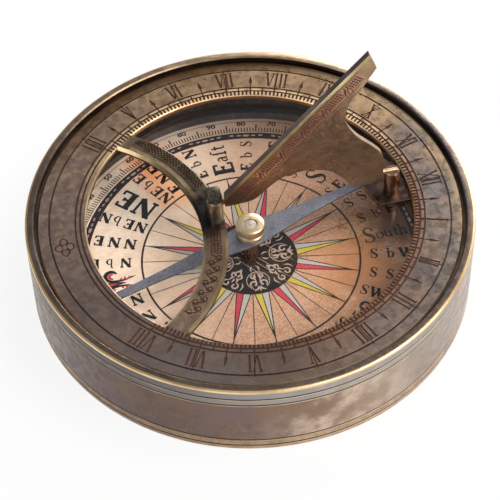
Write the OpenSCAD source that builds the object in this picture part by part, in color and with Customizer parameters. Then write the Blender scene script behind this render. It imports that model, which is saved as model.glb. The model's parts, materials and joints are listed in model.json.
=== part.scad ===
// Sundial compass: a round brass case holds a dry compass under glass, and above the glass
// lie an hour ring and a folding gnomon on two posts. The origin is at the middle of the
// underside, +Z is up, and +X runs along the noon line towards XII.

/* [Case] */
// Outer diameter of the case
case_d = 90; // [86:0.5:110]
// Height of the case
case_h = 18.7; // [17:0.1:26]
// Thickness of the case wall
wall_t = 1.78; // [1.2:0.02:2.6]
// Bevel on the edges of the case
case_bevel = 0.3; // [0.1:0.05:0.5]
// Width of each groove turned in the wall
wall_groove_w = 0.4; // [0.2:0.05:0.6]
// Depth of each groove turned in the wall
wall_groove_deep = 0.25; // [0.1:0.05:0.6]
// Distance of the upper pair's first groove below the rim
upper_groove_drop = 2.4; // [1.5:0.1:3.5]
// Height of the lower pair's first groove above the underside
lower_groove_rise = 1.4; // [0.8:0.1:2.4]
// Distance between the two grooves of a pair
groove_pitch = 1.8; // [1:0.1:2.4]
// Thickness of the base plate
base_t = 1.2; // [0.8:0.1:2]

/* [Card] */
// Thickness of the board under the card
backing_t = 1.25; // [1:0.05:2.5]
// Thickness of the printed card
card_t = 0.3; // [0.2:0.05:0.6]
// Height of the ring that holds the card down
card_ring_h = 1.9; // [1:0.1:3]
// Width of that ring over the edge of the card
card_ring_w = 0.75; // [0.4:0.05:1.5]
// Thickness of the lining tube that carries the glass
lining_t = 2.8; // [1.5:0.1:3.5]

/* [Glass] */
// Thickness of the glass
glass_t = 1.2; // [0.8:0.1:2]
// Width of the ring between the glass and the hour ring
glass_ring_w = 2; // [1:0.1:2.5]

/* [Hour ring] */
// Depth of the hour ring below the rim
ring_drop = 1.03; // [0.6:0.01:1.6]
// Thickness of the hour ring
ring_t = 1.07; // [0.9:0.01:1.6]
// Width of the hour ring at its top
ring_w = 9.82; // [8:0.02:11]
// Width of the dark gap between the hour ring and the rim
ring_gap = 0.58; // [0.3:0.02:0.8]
// Thickness of the ring's hidden flange
ring_flange_t = 0.5; // [0.3:0.05:0.6]
// Bevel on the ring's inner and outer top edges
ring_bevel = 0.3; // [0.1:0.05:0.4]
// Distance of the outer circle from the ring's outer edge
outer_line_inset = 2.44; // [1.5:0.02:3]
// Distance of the minute band's outer circle from the ring's inner edge
band_line_out = 2.15; // [2:0.05:3]
// Distance of the minute band's inner circle from the ring's inner edge
band_line_in = 1.2; // [1:0.05:1.8]
// Width of the circles cut in the ring
line_w = 0.26; // [0.15:0.01:0.4]
// Depth of the circles cut in the ring
line_deep = 0.14; // [0.05:0.01:0.3]

/* [Bow] */
// Distance of the bow's middle from the centre, away from XII
bow_offset = 7.7; // [5:0.1:12]
// Radius of the bow's middle line
bow_r = 31.3; // [26:0.1:36]
// Width of the bow at its foot
bow_w = 4.9; // [3.8:0.1:6]
// Width of each sloping side of the bow
bow_bevel = 0.55; // [0.2:0.05:0.9]
// Radius of the round corners where the bow's outer side meets the hour ring
bow_corner_r = 0.9; // [0.3:0.05:1.5]
// Height of the bow's upright sides
bow_side_h = 0.5; // [0.3:0.05:0.7]

/* [Posts] */
// Diameter of the two posts
post_d = 3.1; // [2.4:0.1:3.8]
// Height of the two posts
post_h = 5.8; // [4.5:0.1:7]
// Bevel on the top of each post
post_bevel = 0.2; // [0.05:0.05:0.3]
// Diameter of the tail that holds each post
tail_d = 1.8; // [1:0.1:2.2]
// Distance of the bow post from the bow's middle line, towards XII
bow_post_shift = 0.75; // [0:0.05:0.85]
// Distance that the bow post runs back behind the hinge line
bow_post_back = 3.5; // [1.6:0.1:5]
// Radius of the bow post's two back corners
bow_post_corner_r = 0.8; // [0.2:0.1:1.4]
// Distance of the noon post from the hour ring's inner edge
noon_post_inset = 3.42; // [2.2:0.02:6]
// Depth of the hinge line below the top of the noon post
hinge_drop = 0.1; // [0:0.05:0.6]
// Diameter of the gnomon's two pivots
pivot_d = 1; // [0.7:0.05:1.2]
// Running clearance round each pivot
pivot_gap = 0.05; // [0.02:0.01:0.1]
// Length of the bow post's pivot past the middle of the post
bow_pivot_past = 0.8; // [0.2:0.1:1]
// Length of the noon post's pivot past the middle of the post
noon_pivot_past = 1.1; // [0.2:0.1:1.4]

/* [Noon bracket] */
// Thickness of the bracket under the noon post
bracket_t = 0.8; // [0.6:0.05:1.2]
// Width of the bracket
bracket_w = 11; // [9:0.1:14]
// Sideways shift of the bracket, towards the morning hours
bracket_shift = 1.9; // [0:0.1:2.5]
// Radius of the bracket's rounded nose
bracket_nose_r = 8.4; // [7.2:0.1:12]
// Reach of the nose past the noon post
bracket_reach = 5; // [3:0.1:6]
// Gap between the bracket and the glass
bracket_gap = 0.1; // [0.05:0.05:0.3]
// Diameter of the bracket's rivets
rivet_d = 1.6; // [1:0.1:2]
// Depth to which the rivets enter the hour ring
rivet_bite = 0.55; // [0.3:0.05:0.6]
// Distance between neighbouring rivets
rivet_pitch = 3.8; // [2.5:0.1:4.4]

/* [Gnomon] */
// Thickness of the gnomon plate
gnomon_t = 1.2; // [0.8:0.05:1.6]
// Gap between the gnomon plate and each post
gnomon_gap = 0.32; // [0.2:0.02:0.6]
// Angle of the style edge above the noon line
style_angle = 48.4; // [42:0.1:52]

/* [Needle] */
// Length of the needle
needle_len = 70; // [50:0.5:74]
// Thickness of the needle
needle_t = 0.3; // [0.2:0.05:0.5]
// Width of the needle at its middle
needle_w = 6.4; // [5.6:0.1:8]
// Width of the needle at its shoulders
needle_shoulder_w = 5; // [4:0.1:5.6]
// Distance of the needle's shoulders from its middle
needle_shoulder_x = 6; // [5:0.1:7]
// Width of the needle where its taper slackens
needle_waist_w = 3.4; // [2.8:0.1:4]
// Distance of that place from the needle's middle
needle_waist_x = 12.5; // [10:0.1:14]
// Width of the needle at the start of its slender ends
needle_arm_w = 2.1; // [1.6:0.1:2.6]
// Distance of that place from the needle's middle
needle_arm_x = 22; // [17:0.1:24]
// Width of the needle near its tips
needle_end_w = 1.8; // [1:0.1:2.4]
// Length of the needle's two points
needle_point_len = 3; // [2:0.1:4]
// Direction of the needle at rest, from the noon line
needle_angle = 17.35; // [-40:0.05:40]
// Diameter of the needle's cap
cap_d = 5.9; // [5:0.1:7]
// Height of the cap above the needle
cap_h = 3.4; // [3:0.1:4.2]
// Gap between the cap and the glass
cap_gap = 0.7; // [0.1:0.05:1]
// Depth of the cap's hub below the needle's upper face
hub_deep = 0.8; // [0.5:0.05:1]
// Diameter of the jewel in the cap
jewel_d = 2.6; // [2:0.1:3]
// Height of the jewel
jewel_h = 1.5; // [1.2:0.1:2]

/* [Pivot] */
// Diameter of the column that carries the pivot pin
column_d = 3; // [2.4:0.1:3.6]
// Diameter of the pivot pin
pin_d = 0.9; // [0.6:0.05:1.2]
// Length of the pivot pin inside the column
pin_hold = 2.8; // [1.5:0.1:3.5]
// Length of the pin's point
pin_point_h = 1.2; // [0.8:0.1:2]
// Bevel on the top of the column
column_bevel = 0.3; // [0.1:0.05:0.6]
// Gap under the cap's hub
hub_gap = 0.4; // [0.3:0.05:0.8]
// Diameter of the screw under the column
screw_d = 1.8; // [1.2:0.1:2]
// Diameter of the screw's sunk head
screw_head_d = 3.6; // [3:0.1:4.4]
// Depth of the screw's head in the underside
screw_sunk = 0.1; // [0.05:0.05:0.3]
// Length of the screw
screw_len = 4.5; // [3:0.1:5]
// Width of the screw's slot
screw_slot_w = 0.6; // [0.4:0.05:0.9]
// Depth of the screw's slot
screw_slot_deep = 0.4; // [0.2:0.05:0.6]

/* [Hidden] */
$fn = 180;

// Clearance between parts that are pressed or glued together
fit = 0.03;
// Overshoot of a cut past the face that it opens
over = 0.5;

// Radii
case_r = case_d / 2;
case_in_r = case_r - wall_t;
inner_r = case_in_r - fit;
lining_in_r = inner_r - lining_t;
card_r = lining_in_r - fit;
ring_r = case_in_r - ring_gap;
ring_in_r = ring_r - ring_w;
glass_ring_in_r = inner_r - glass_ring_w;

// Heights
card_top = base_t + backing_t + card_t;
ring_top = case_h - ring_drop;
ring_under = ring_top - ring_t;
glass_ring_h = bracket_t + bracket_gap;
glass_top = ring_under - glass_ring_h;
glass_under = glass_top - glass_t;
cap_top = glass_under - cap_gap;
needle_top = cap_top - cap_h;
hub_under = needle_top - hub_deep;
column_top = hub_under - hub_gap;
jewel_top = cap_top - fit;
jewel_under = jewel_top - jewel_h;
jewel_cup_deep = jewel_h * 0.4;
jewel_cup_r = jewel_d * 0.3;
hub_r = cap_d * 0.36;

// Play of the jewel on the pin's point, and the point's rounded end
pin_play = 0.06;
pin_tip_r = 0.1;
pin_tip = jewel_under + jewel_cup_deep - pin_play;
pin_foot = column_top - pin_hold;

// Posts and hinge line
bow_post_x = bow_post_shift - bow_offset;
noon_post_x = ring_in_r - noon_post_inset;
post_r = post_d / 2;
pivot_r = pivot_d / 2;
hinge_z = ring_under + post_h - hinge_drop;

// Bow: its centre, the radius of its outer side, and the middle of each round corner,
// which touches that side and the hour ring's inner edge
bow_centre_x = -bow_offset - bow_r;
bow_out_r = bow_r + bow_w / 2;
corner_x = (pow(ring_in_r - bow_corner_r, 2) - pow(bow_out_r + bow_corner_r, 2)
    + bow_centre_x * bow_centre_x) / (2 * bow_centre_x);
corner_y = sqrt(pow(ring_in_r - bow_corner_r, 2) - corner_x * corner_x);
corner_fill = 0.6;

// The gnomon's outline, in millimetres at the span that it was drawn for, measured from
// the bow post's axis along the noon line and from the hinge line upwards. It grows with
// the distance between the posts.
drawn_span = 36.35;
gnomon_scale = (noon_post_x - bow_post_x) / drawn_span;
style_start = [1.87, 2.1];
style_len = 42.9;
style_tip = style_start + style_len * [cos(style_angle), sin(style_angle)];
end_corner = style_tip + [1.5, -3.8];
back_edge = [end_corner, style_tip + [0.75, -5.1], style_tip + [-1.1, -8.4],
    style_tip + [-3.05, -11.1], [26.2, 19.9], [26.45, 16.4], [28.5, 12.6], [31.55, 9.1],
    [33.7, 6.3], [34.3, 3.6]];
fin_corner = [34.3, -0.7];
under_edge = [fin_corner, [33.1, -1.8], [29.95, -2.15], [27.95, -1.6], [25.45, 1.7],
    [22.4, 4.3], [17.95, 5.4], [13.6, 4.6], [10.5, 2.3], [7.95, -0.15], [4.95, -0.75],
    [1.87, -0.8]];

// Height above which the drawn outline runs on past the noon post
drawn_clear_h = 12;

// One edge of the needle, from its middle to the start of its point
needle_half = needle_len / 2;
needle_edge = [[0, needle_w / 2], [needle_shoulder_x, needle_shoulder_w / 2],
    [needle_waist_x, needle_waist_w / 2], [needle_arm_x, needle_arm_w / 2],
    [needle_half - needle_point_len, needle_end_w / 2]];

// Point on the smooth curve through p0 to p3, at t of the way from p1 to p2
function curve_point(p0, p1, p2, p3, t) =
    0.5 * (2 * p1 + (p2 - p0) * t + (2 * p0 - 5 * p1 + 4 * p2 - p3) * t * t
    + (3 * p1 - p0 - 3 * p2 + p3) * t * t * t);

// Smooth curve through a list of points, in steps between each two
function curve(points, steps) =
    let (last = len(points) - 1)
    concat([for (i = [0 : last - 1], j = [0 : steps - 1])
        curve_point(points[max(i - 1, 0)], points[i], points[i + 1],
            points[min(i + 2, last)], j / steps)],
        [points[last]]);

function turned(points, turn) = [for (p = points) [p[0] * cos(turn) - p[1] * sin(turn),
    p[0] * sin(turn) + p[1] * cos(turn)]];

module tube(outer_r, in_r, low, high) {
    translate([0, 0, low])
        difference() {
            cylinder(r = outer_r, h = high - low);
            translate([0, 0, -over])
                cylinder(r = in_r, h = high - low + 2 * over);
        }
}

// A square groove cut round the axis, open towards its outer side
module turned_groove(r, width, low, high) {
    rotate_extrude()
        translate([r, low])
            square([width, high - low]);
}

module case_wall() {
    groove_heights = [case_h - upper_groove_drop, case_h - upper_groove_drop - groove_pitch,
        lower_groove_rise + groove_pitch, lower_groove_rise];
    color("#7a6248")
        difference() {
            rotate_extrude()
                polygon([[case_in_r, 0], [case_r - case_bevel, 0], [case_r, case_bevel],
                    [case_r, case_h - case_bevel], [case_r - case_bevel, case_h],
                    [case_in_r + case_bevel, case_h], [case_in_r, case_h - case_bevel]]);
            for (z = groove_heights)
                turned_groove(case_r - wall_groove_deep, wall_groove_deep + over,
                    z - wall_groove_w / 2, z + wall_groove_w / 2);
        }
}

module base_plate() {
    color("#6e5a40")
        difference() {
            cylinder(r = inner_r, h = base_t);
            screw_hole();
        }
}

// The sunk screw's head and shank, grown all round by a clearance
module screw_shape(grow) {
    head_deep = (screw_head_d - screw_d) / 2;
    translate([0, 0, screw_sunk]) {
        cylinder(r = screw_d / 2 + grow, h = screw_len + grow);
        cylinder(r1 = screw_head_d / 2 + grow, r2 = screw_d / 2 + grow, h = head_deep);
    }
}

module screw_hole() {
    screw_shape(fit);
    translate([0, 0, -over])
        cylinder(r = screw_head_d / 2 + fit, h = over + screw_sunk);
}

module pivot_screw() {
    color("#9a8a6a")
        difference() {
            screw_shape(0);
            translate([-screw_head_d, -screw_slot_w / 2, screw_sunk - over])
                cube([2 * screw_head_d, screw_slot_w, screw_slot_deep + over]);
        }
}

module card_backing() {
    color("#b09070")
        tube(card_r, column_d / 2 + fit, base_t, base_t + backing_t);
}

module compass_card() {
    color("#d8ab8e")
        tube(card_r, column_d / 2 + fit, base_t + backing_t, card_top);
}

module card_ring() {
    color("#6f6a5e")
        tube(card_r, card_r - card_ring_w, card_top, card_top + card_ring_h);
}

module lining_tube() {
    color("#5f5f60")
        tube(inner_r, lining_in_r, base_t, glass_under);
}

module pivot_column() {
    color("#7a5f3a")
        difference() {
            union() {
                translate([0, 0, base_t])
                    cylinder(r = column_d / 2, h = column_top - base_t - column_bevel);
                translate([0, 0, column_top - column_bevel])
                    cylinder(r1 = column_d / 2, r2 = column_d / 2 - column_bevel,
                        h = column_bevel);
            }
            screw_hole();
            translate([0, 0, pin_foot])
                cylinder(r = pin_d / 2 + fit, h = pin_hold + over);
        }
}

module pivot_pin() {
    color("#8c8f94") {
        translate([0, 0, pin_foot])
            cylinder(r = pin_d / 2, h = pin_tip - pin_point_h - pin_foot);
        translate([0, 0, pin_tip - pin_point_h])
            cylinder(r1 = pin_d / 2, r2 = pin_tip_r, h = pin_point_h);
    }
}

module glass() {
    color("#cfe0e4", 0.4)
        translate([0, 0, glass_under])
            cylinder(r = inner_r, h = glass_t);
}

module glass_ring() {
    color("#6e5a40")
        tube(inner_r, glass_ring_in_r, glass_top, ring_under);
}

// Section of the hour ring, with its flange, gap and bevels
module ring_section() {
    polygon([[ring_in_r, ring_under], [inner_r, ring_under],
        [inner_r, ring_under + ring_flange_t], [ring_r, ring_under + ring_flange_t],
        [ring_r, ring_top - ring_bevel], [ring_r - ring_bevel, ring_top],
        [ring_in_r + ring_bevel, ring_top], [ring_in_r, ring_top - ring_bevel]]);
}

// Section of the bow, drawn from its middle line
module bow_section() {
    half = bow_w / 2;
    polygon([[-half, 0], [half, 0], [half, bow_side_h], [half - bow_bevel, ring_t],
        [bow_bevel - half, ring_t], [-half, bow_side_h]]);
}

// Metal that rounds the corner between the bow's outer side and the ring, on one side
module bow_corner(side) {
    middle = [corner_x, side * corner_y];
    outwards = middle / (ring_in_r - bow_corner_r);
    to_bow = (middle - [bow_centre_x, 0]) / (bow_out_r + bow_corner_r);
    at_ring = outwards * (ring_in_r + corner_fill);
    at_bow = [bow_centre_x, 0] + to_bow * (bow_out_r - corner_fill);
    difference() {
        translate([0, 0, ring_under])
            linear_extrude(ring_t)
                polygon([middle, at_ring, (at_ring + at_bow) / 2 + (outwards - to_bow), at_bow]);
        translate([middle[0], middle[1], ring_under - over]) {
            cylinder(r = bow_corner_r, h = ring_t + 2 * over);
            translate([0, 0, over + bow_side_h])
                cylinder(r1 = bow_corner_r, r2 = bow_corner_r + bow_bevel,
                    h = ring_t - bow_side_h);
        }
    }
}

// The bow, with each foot ending in the ring, midway between the minute band's circles
module bow() {
    join_r = ring_in_r + (band_line_in + band_line_out) / 2;
    half_turn = acos((bow_centre_x * bow_centre_x + bow_r * bow_r - join_r * join_r)
        / (2 * abs(bow_centre_x) * bow_r));
    translate([bow_centre_x, 0, ring_under])
        rotate(-half_turn)
            rotate_extrude(angle = 2 * half_turn)
                translate([bow_r, 0])
                    bow_section();
}

// Places of the rivets, on a circle about the centre
module at_rivets() {
    rivet_circle_r = ring_in_r + ring_w * 0.4;
    for (i = [-1 : 1])
        rotate(asin((bracket_shift + i * rivet_pitch) / rivet_circle_r))
            translate([rivet_circle_r, 0, 0])
                children();
}

module chapter_ring() {
    line_radii = [ring_r - outer_line_inset, ring_in_r + band_line_out,
        ring_in_r + band_line_in];
    color("#8a7256")
        difference() {
            union() {
                rotate_extrude()
                    ring_section();
                bow();
                for (side = [-1, 1])
                    bow_corner(side);
            }
            for (r = line_radii)
                turned_groove(r - line_w / 2, line_w, ring_top - line_deep, ring_top + over);
            translate([bow_post_x, 0, ring_under - over])
                cylinder(r = tail_d / 2 + fit, h = ring_t + 2 * over);
            at_rivets()
                translate([0, 0, ring_under - over])
                    cylinder(r = rivet_d / 2 + fit, h = rivet_bite + fit + over);
        }
}

module noon_bracket() {
    nose_x = noon_post_x - bracket_reach + bracket_nose_r;
    color("#6b5c48")
        difference() {
            translate([0, 0, ring_under - bracket_t])
                linear_extrude(bracket_t)
                    intersection() {
                        circle(r = glass_ring_in_r - fit);
                        translate([0, bracket_shift - bracket_w / 2])
                            square([case_r, bracket_w]);
                        union() {
                            translate([nose_x, bracket_shift])
                                circle(r = bracket_nose_r);
                            translate([nose_x, bracket_shift - bracket_w / 2])
                                square([case_r, bracket_w]);
                        }
                    }
            translate([noon_post_x, 0, ring_under - bracket_t - over])
                cylinder(r = tail_d / 2 + fit, h = bracket_t + 2 * over);
            at_rivets()
                translate([0, 0, ring_under - bracket_t - over])
                    cylinder(r = rivet_d / 2 + fit, h = bracket_t + 2 * over);
        }
}

module bracket_rivets() {
    color("#8a7a5a")
        at_rivets()
            translate([0, 0, ring_under - bracket_t])
                cylinder(r = rivet_d / 2, h = bracket_t + rivet_bite);
}

// A post that stands at foot_z, with its tail going down through its seat
module post(foot_z, tail_h) {
    translate([0, 0, foot_z]) {
        cylinder(r = post_r, h = post_h - post_bevel);
        translate([0, 0, post_h - post_bevel])
            cylinder(r1 = post_r, r2 = post_r - post_bevel, h = post_bevel);
        translate([0, 0, -tail_h])
            cylinder(r = tail_d / 2, h = tail_h + over);
    }
}

// A cylinder along the hinge line
module along_hinge(r, from_x, to_x) {
    translate([from_x, 0, hinge_z])
        rotate([0, 90, 0])
            cylinder(r = r, h = to_x - from_x);
}

module pivot_bore(from_x, to_x) {
    along_hinge(pivot_r + pivot_gap, from_x, to_x);
}

// Round in front, and running back as a block with two round corners
module bow_post() {
    color("#8a7a55")
        difference() {
            translate([bow_post_x, 0, 0]) {
                post(ring_top, ring_t);
                translate([0, 0, ring_top])
                    linear_extrude(post_h) {
                        translate([-post_r, 0])
                            square([post_d, bow_post_back - bow_post_corner_r]);
                        translate([bow_post_corner_r - post_r, 0])
                            square([post_d - 2 * bow_post_corner_r, bow_post_back]);
                        for (side = [-1, 1])
                            translate([side * (post_r - bow_post_corner_r),
                                bow_post_back - bow_post_corner_r])
                                circle(r = bow_post_corner_r);
                    }
            }
            pivot_bore(bow_post_x - bow_pivot_past - pivot_gap, bow_post_x + post_r + over);
        }
}

module noon_post() {
    color("#8a7a55")
        difference() {
            translate([noon_post_x, 0, 0])
                post(ring_under, bracket_t);
            pivot_bore(noon_post_x - post_r - over, noon_post_x + post_r + over);
        }
}

// Outline of the gnomon plate, cut square where it meets the two posts
module gnomon_outline() {
    plate_low_x = post_r + gnomon_gap;
    plate_high_x = noon_post_x - bow_post_x - post_r - gnomon_gap;
    curve_steps = 6;
    outline = concat([style_start, style_tip], curve(back_edge, curve_steps),
        curve(under_edge, curve_steps));
    intersection() {
        polygon(gnomon_scale * outline);
        translate([plate_low_x, -case_r])
            square([2 * case_r, 3 * case_r]);
        union() {
            translate([0, -case_r])
                square([plate_high_x, 2 * case_r]);
            translate([0, gnomon_scale * drawn_clear_h])
                square([2 * case_r, 2 * case_r]);
        }
    }
}

module gnomon() {
    plate_low_x = bow_post_x + post_r + gnomon_gap;
    plate_high_x = noon_post_x - post_r - gnomon_gap;
    color("#7d6240") {
        translate([bow_post_x, gnomon_t / 2, hinge_z])
            rotate([90, 0, 0])
                linear_extrude(gnomon_t)
                    gnomon_outline();
        along_hinge(pivot_r, bow_post_x - bow_pivot_past, plate_low_x + over);
        along_hinge(pivot_r, plate_high_x - over, noon_post_x + noon_pivot_past);
    }
}

module needle() {
    curve_steps = 5;
    edge = curve(needle_edge, curve_steps);
    last = len(edge) - 1;
    right = concat(edge, [[needle_half, 0]],
        [for (i = [last : -1 : 1]) [edge[i][0], -edge[i][1]]]);
    left = [for (p = right) [-p[0], -p[1]]];
    color("#4f5a70")
        translate([0, 0, needle_top - needle_t])
            linear_extrude(needle_t)
                difference() {
                    polygon(turned(concat(right, left), needle_angle));
                    circle(r = hub_r + fit);
                }
}

// Section of the cap, turned about the pivot's axis
module cap_section() {
    r = cap_d / 2;
    foot_r = r * 0.87;
    waist_r = r * 0.78;
    bore_r = jewel_d / 2 + fit;
    polygon([[bore_r, hub_under], [hub_r, hub_under], [hub_r, needle_top],
        [foot_r, needle_top], [foot_r, needle_top + cap_h * 0.16],
        [waist_r, needle_top + cap_h * 0.24], [waist_r, needle_top + cap_h * 0.5],
        [r, needle_top + cap_h * 0.68], [r, cap_top - cap_h * 0.09],
        [r - cap_h * 0.09, cap_top], [bore_r, cap_top]]);
}

module needle_cap() {
    color("#c8b07a")
        rotate_extrude()
            cap_section();
}

module needle_jewel() {
    color("#c9d0d2")
        difference() {
            translate([0, 0, jewel_under])
                cylinder(r = jewel_d / 2, h = jewel_h);
            translate([0, 0, jewel_under - fit])
                cylinder(r1 = jewel_cup_r, r2 = pin_tip_r, h = jewel_cup_deep + fit);
        }
}

case_wall();
base_plate();
pivot_screw();
card_backing();
compass_card();
card_ring();
lining_tube();
pivot_column();
pivot_pin();
glass();
glass_ring();
chapter_ring();
noon_bracket();
bracket_rivets();
bow_post();
noon_post();
gnomon();
needle();
needle_cap();
needle_jewel();
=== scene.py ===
import json
import math

import bmesh
import bpy
from mathutils import Euler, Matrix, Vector


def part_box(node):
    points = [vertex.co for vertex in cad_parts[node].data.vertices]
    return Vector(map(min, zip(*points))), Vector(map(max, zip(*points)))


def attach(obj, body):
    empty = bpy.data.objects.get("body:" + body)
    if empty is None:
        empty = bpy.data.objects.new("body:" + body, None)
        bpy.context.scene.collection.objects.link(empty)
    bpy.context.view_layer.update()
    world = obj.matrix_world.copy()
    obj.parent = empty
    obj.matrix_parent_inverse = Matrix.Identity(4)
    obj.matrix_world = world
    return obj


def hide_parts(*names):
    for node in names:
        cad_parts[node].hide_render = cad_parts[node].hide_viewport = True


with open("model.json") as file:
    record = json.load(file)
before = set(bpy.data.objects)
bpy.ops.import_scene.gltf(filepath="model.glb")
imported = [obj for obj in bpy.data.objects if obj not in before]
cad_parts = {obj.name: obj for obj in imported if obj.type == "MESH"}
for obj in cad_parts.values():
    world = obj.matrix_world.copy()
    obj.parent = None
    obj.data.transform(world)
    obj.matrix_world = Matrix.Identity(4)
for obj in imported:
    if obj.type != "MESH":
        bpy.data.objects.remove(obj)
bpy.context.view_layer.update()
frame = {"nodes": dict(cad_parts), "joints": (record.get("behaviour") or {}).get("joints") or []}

SCENE = bpy.context.scene
NODES = frame["nodes"]
MM = 0.001


# Sizes that the frame gives, in millimetres

def box_mm(node):
    """Lowest and highest corner of a CAD node."""
    low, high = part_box(node)
    return low / MM, high / MM


def radii_mm(node, low, high):
    """Smallest and largest radius of a node's points between two heights, on the XII side."""
    points = [vertex.co / MM for vertex in NODES[node].data.vertices]
    radii = [point.xy.length for point in points if low <= point.z <= high and point.x > 0]
    return min(radii), max(radii)


CASE_R, _, CASE_H = box_mm("case_wall")[1]
WALL_IN_R = radii_mm("case_wall", 0, 0.01)[0]
RING_UNDER, RING_TOP = (corner.z for corner in box_mm("chapter_ring"))
FACE_OUT_R = radii_mm("chapter_ring", RING_TOP - 0.01, RING_TOP)[1]
RING_IN_R = radii_mm("chapter_ring", RING_UNDER, RING_UNDER + 0.01)[0]
CARD_R, _, CARD_TOP = box_mm("compass_card")[1]
CAP_R, _, CAP_TOP = box_mm("needle_cap")[1]
HUB_UNDER = box_mm("needle_cap")[0].z
NEEDLE_TOP = box_mm("needle")[1].z
JEWEL_R = box_mm("needle_jewel")[1].x
POST_LEFT, POST_RIGHT = (corner.x for corner in box_mm("bow_post"))
BOW_POST_X = (POST_LEFT + POST_RIGHT) / 2
POST_TOP = box_mm("bow_post")[1].z
HINGE_Z = frame["joints"][0]["pos_m"][2] / MM
PLATE_HALF = box_mm("gnomon")[1].y
FLAT_ANGLE = 0.5

# Places and sizes of the marks, in millimetres and degrees

BAND_LINES = (1.4, 3.2, CASE_H - 4.2, CASE_H - 2.4)
HOUR_STEP = 17
HOURS = ["IIII", "V", "VI", "VII", "VIII", "IX", "X", "XI", "XII",
         "I", "II", "III", "IIII", "V", "VI", "VII", "VIII"]
FIRST_HOUR_ANGLE = 136
BAND_IN_R = RING_IN_R + 1.2
BAND_OUT_R = RING_IN_R + 2.15
OUTER_CIRCLE_R = FACE_OUT_R - 2.14
DIAL_CIRCLES = (BAND_IN_R, BAND_OUT_R, OUTER_CIRCLE_R)
CIRCLE_W = 0.36
NUMERAL_FOOT_R = 35.5
NUMERAL_H = 3.9
ARROW_TIP_R = 38.3
KNOT_X = -37.6
CUT_DEEP = 0.14
CUT_FOOT = 0.3
CUT_RISE = 0.05

BOW_R = 31.3
BOW_W = 4.9
BOW_CENTRE_X = -7.7 - BOW_R

STYLE_START = Vector((1.87, 2.1))
STYLE_ANGLE = 48.4

POINT_COUNT = 32
DISC_R = 9.6
STAR_TIP_R = 21.5
INNER_CIRCLE_R = 22.5
BLACK_BAND = (33.7, 35.4)
DEGREE_TICK_R = (35.8, 36.9, 37.8)
INK_THICK = 0.006
INK_STEP = 0.0006
INK_STEPS = 5
INK_LAYERS = {"ground": 0.02, "long ticks": 0.022, "disc": 0.026, "lines": 0.03,
              "ovals": 0.035, "scrolls": 0.036, "glass_reflection_lines": 0.042}
NUMBER_H = 1.7
NUMBER_R = 38.1
NUMBER_STRETCH = 1.15


# Drawing in the plane: points, strokes and letters

def polar(radius, degrees, centre=(0, 0)):
    angle = math.radians(degrees)
    return centre[0] + radius * math.cos(angle), centre[1] + radius * math.sin(angle)


def arc(centre, radius, start, end, steps):
    """Points of an arc about a centre, from one angle to another, in degrees."""
    return [polar(radius, start + (end - start) * i / steps, centre) for i in range(steps + 1)]


def smooth(points, steps=6):
    """A smooth curve through points of any number of coordinates."""
    out = []
    last = len(points) - 1
    for i in range(last):
        p0, p1 = points[max(i - 1, 0)], points[i]
        p2, p3 = points[i + 1], points[min(i + 2, last)]
        for step in range(steps):
            t = step / steps
            out.append(tuple(
                0.5 * (2 * b + (c - a) * t + (2 * a - 5 * b + 4 * c - d) * t * t
                       + (3 * b - a - 3 * c + d) * t ** 3)
                for a, b, c, d in zip(p0, p1, p2, p3)))
    return out + [tuple(points[last])]


def placed(line, origin, along, up, size=1.0):
    """A line with breadths moved from its own axes to an origin, an along axis and an up
    axis."""
    return [(origin[0] + size * (x * along[0] + y * up[0]),
             origin[1] + size * (x * along[1] + y * up[1]), size * width)
            for x, y, width in line]


THICK = 0.29
THIN = 0.13


def stem(x, low=0.0, high=1.0, width=THICK):
    return [(x, low, width), (x, high, width)]


def bar(start_x, end_x, y, width=THIN):
    return [(start_x, y, width), (end_x, y, width)]


def slant(start, end, width):
    return [(*start, width), (*end, width)]


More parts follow.
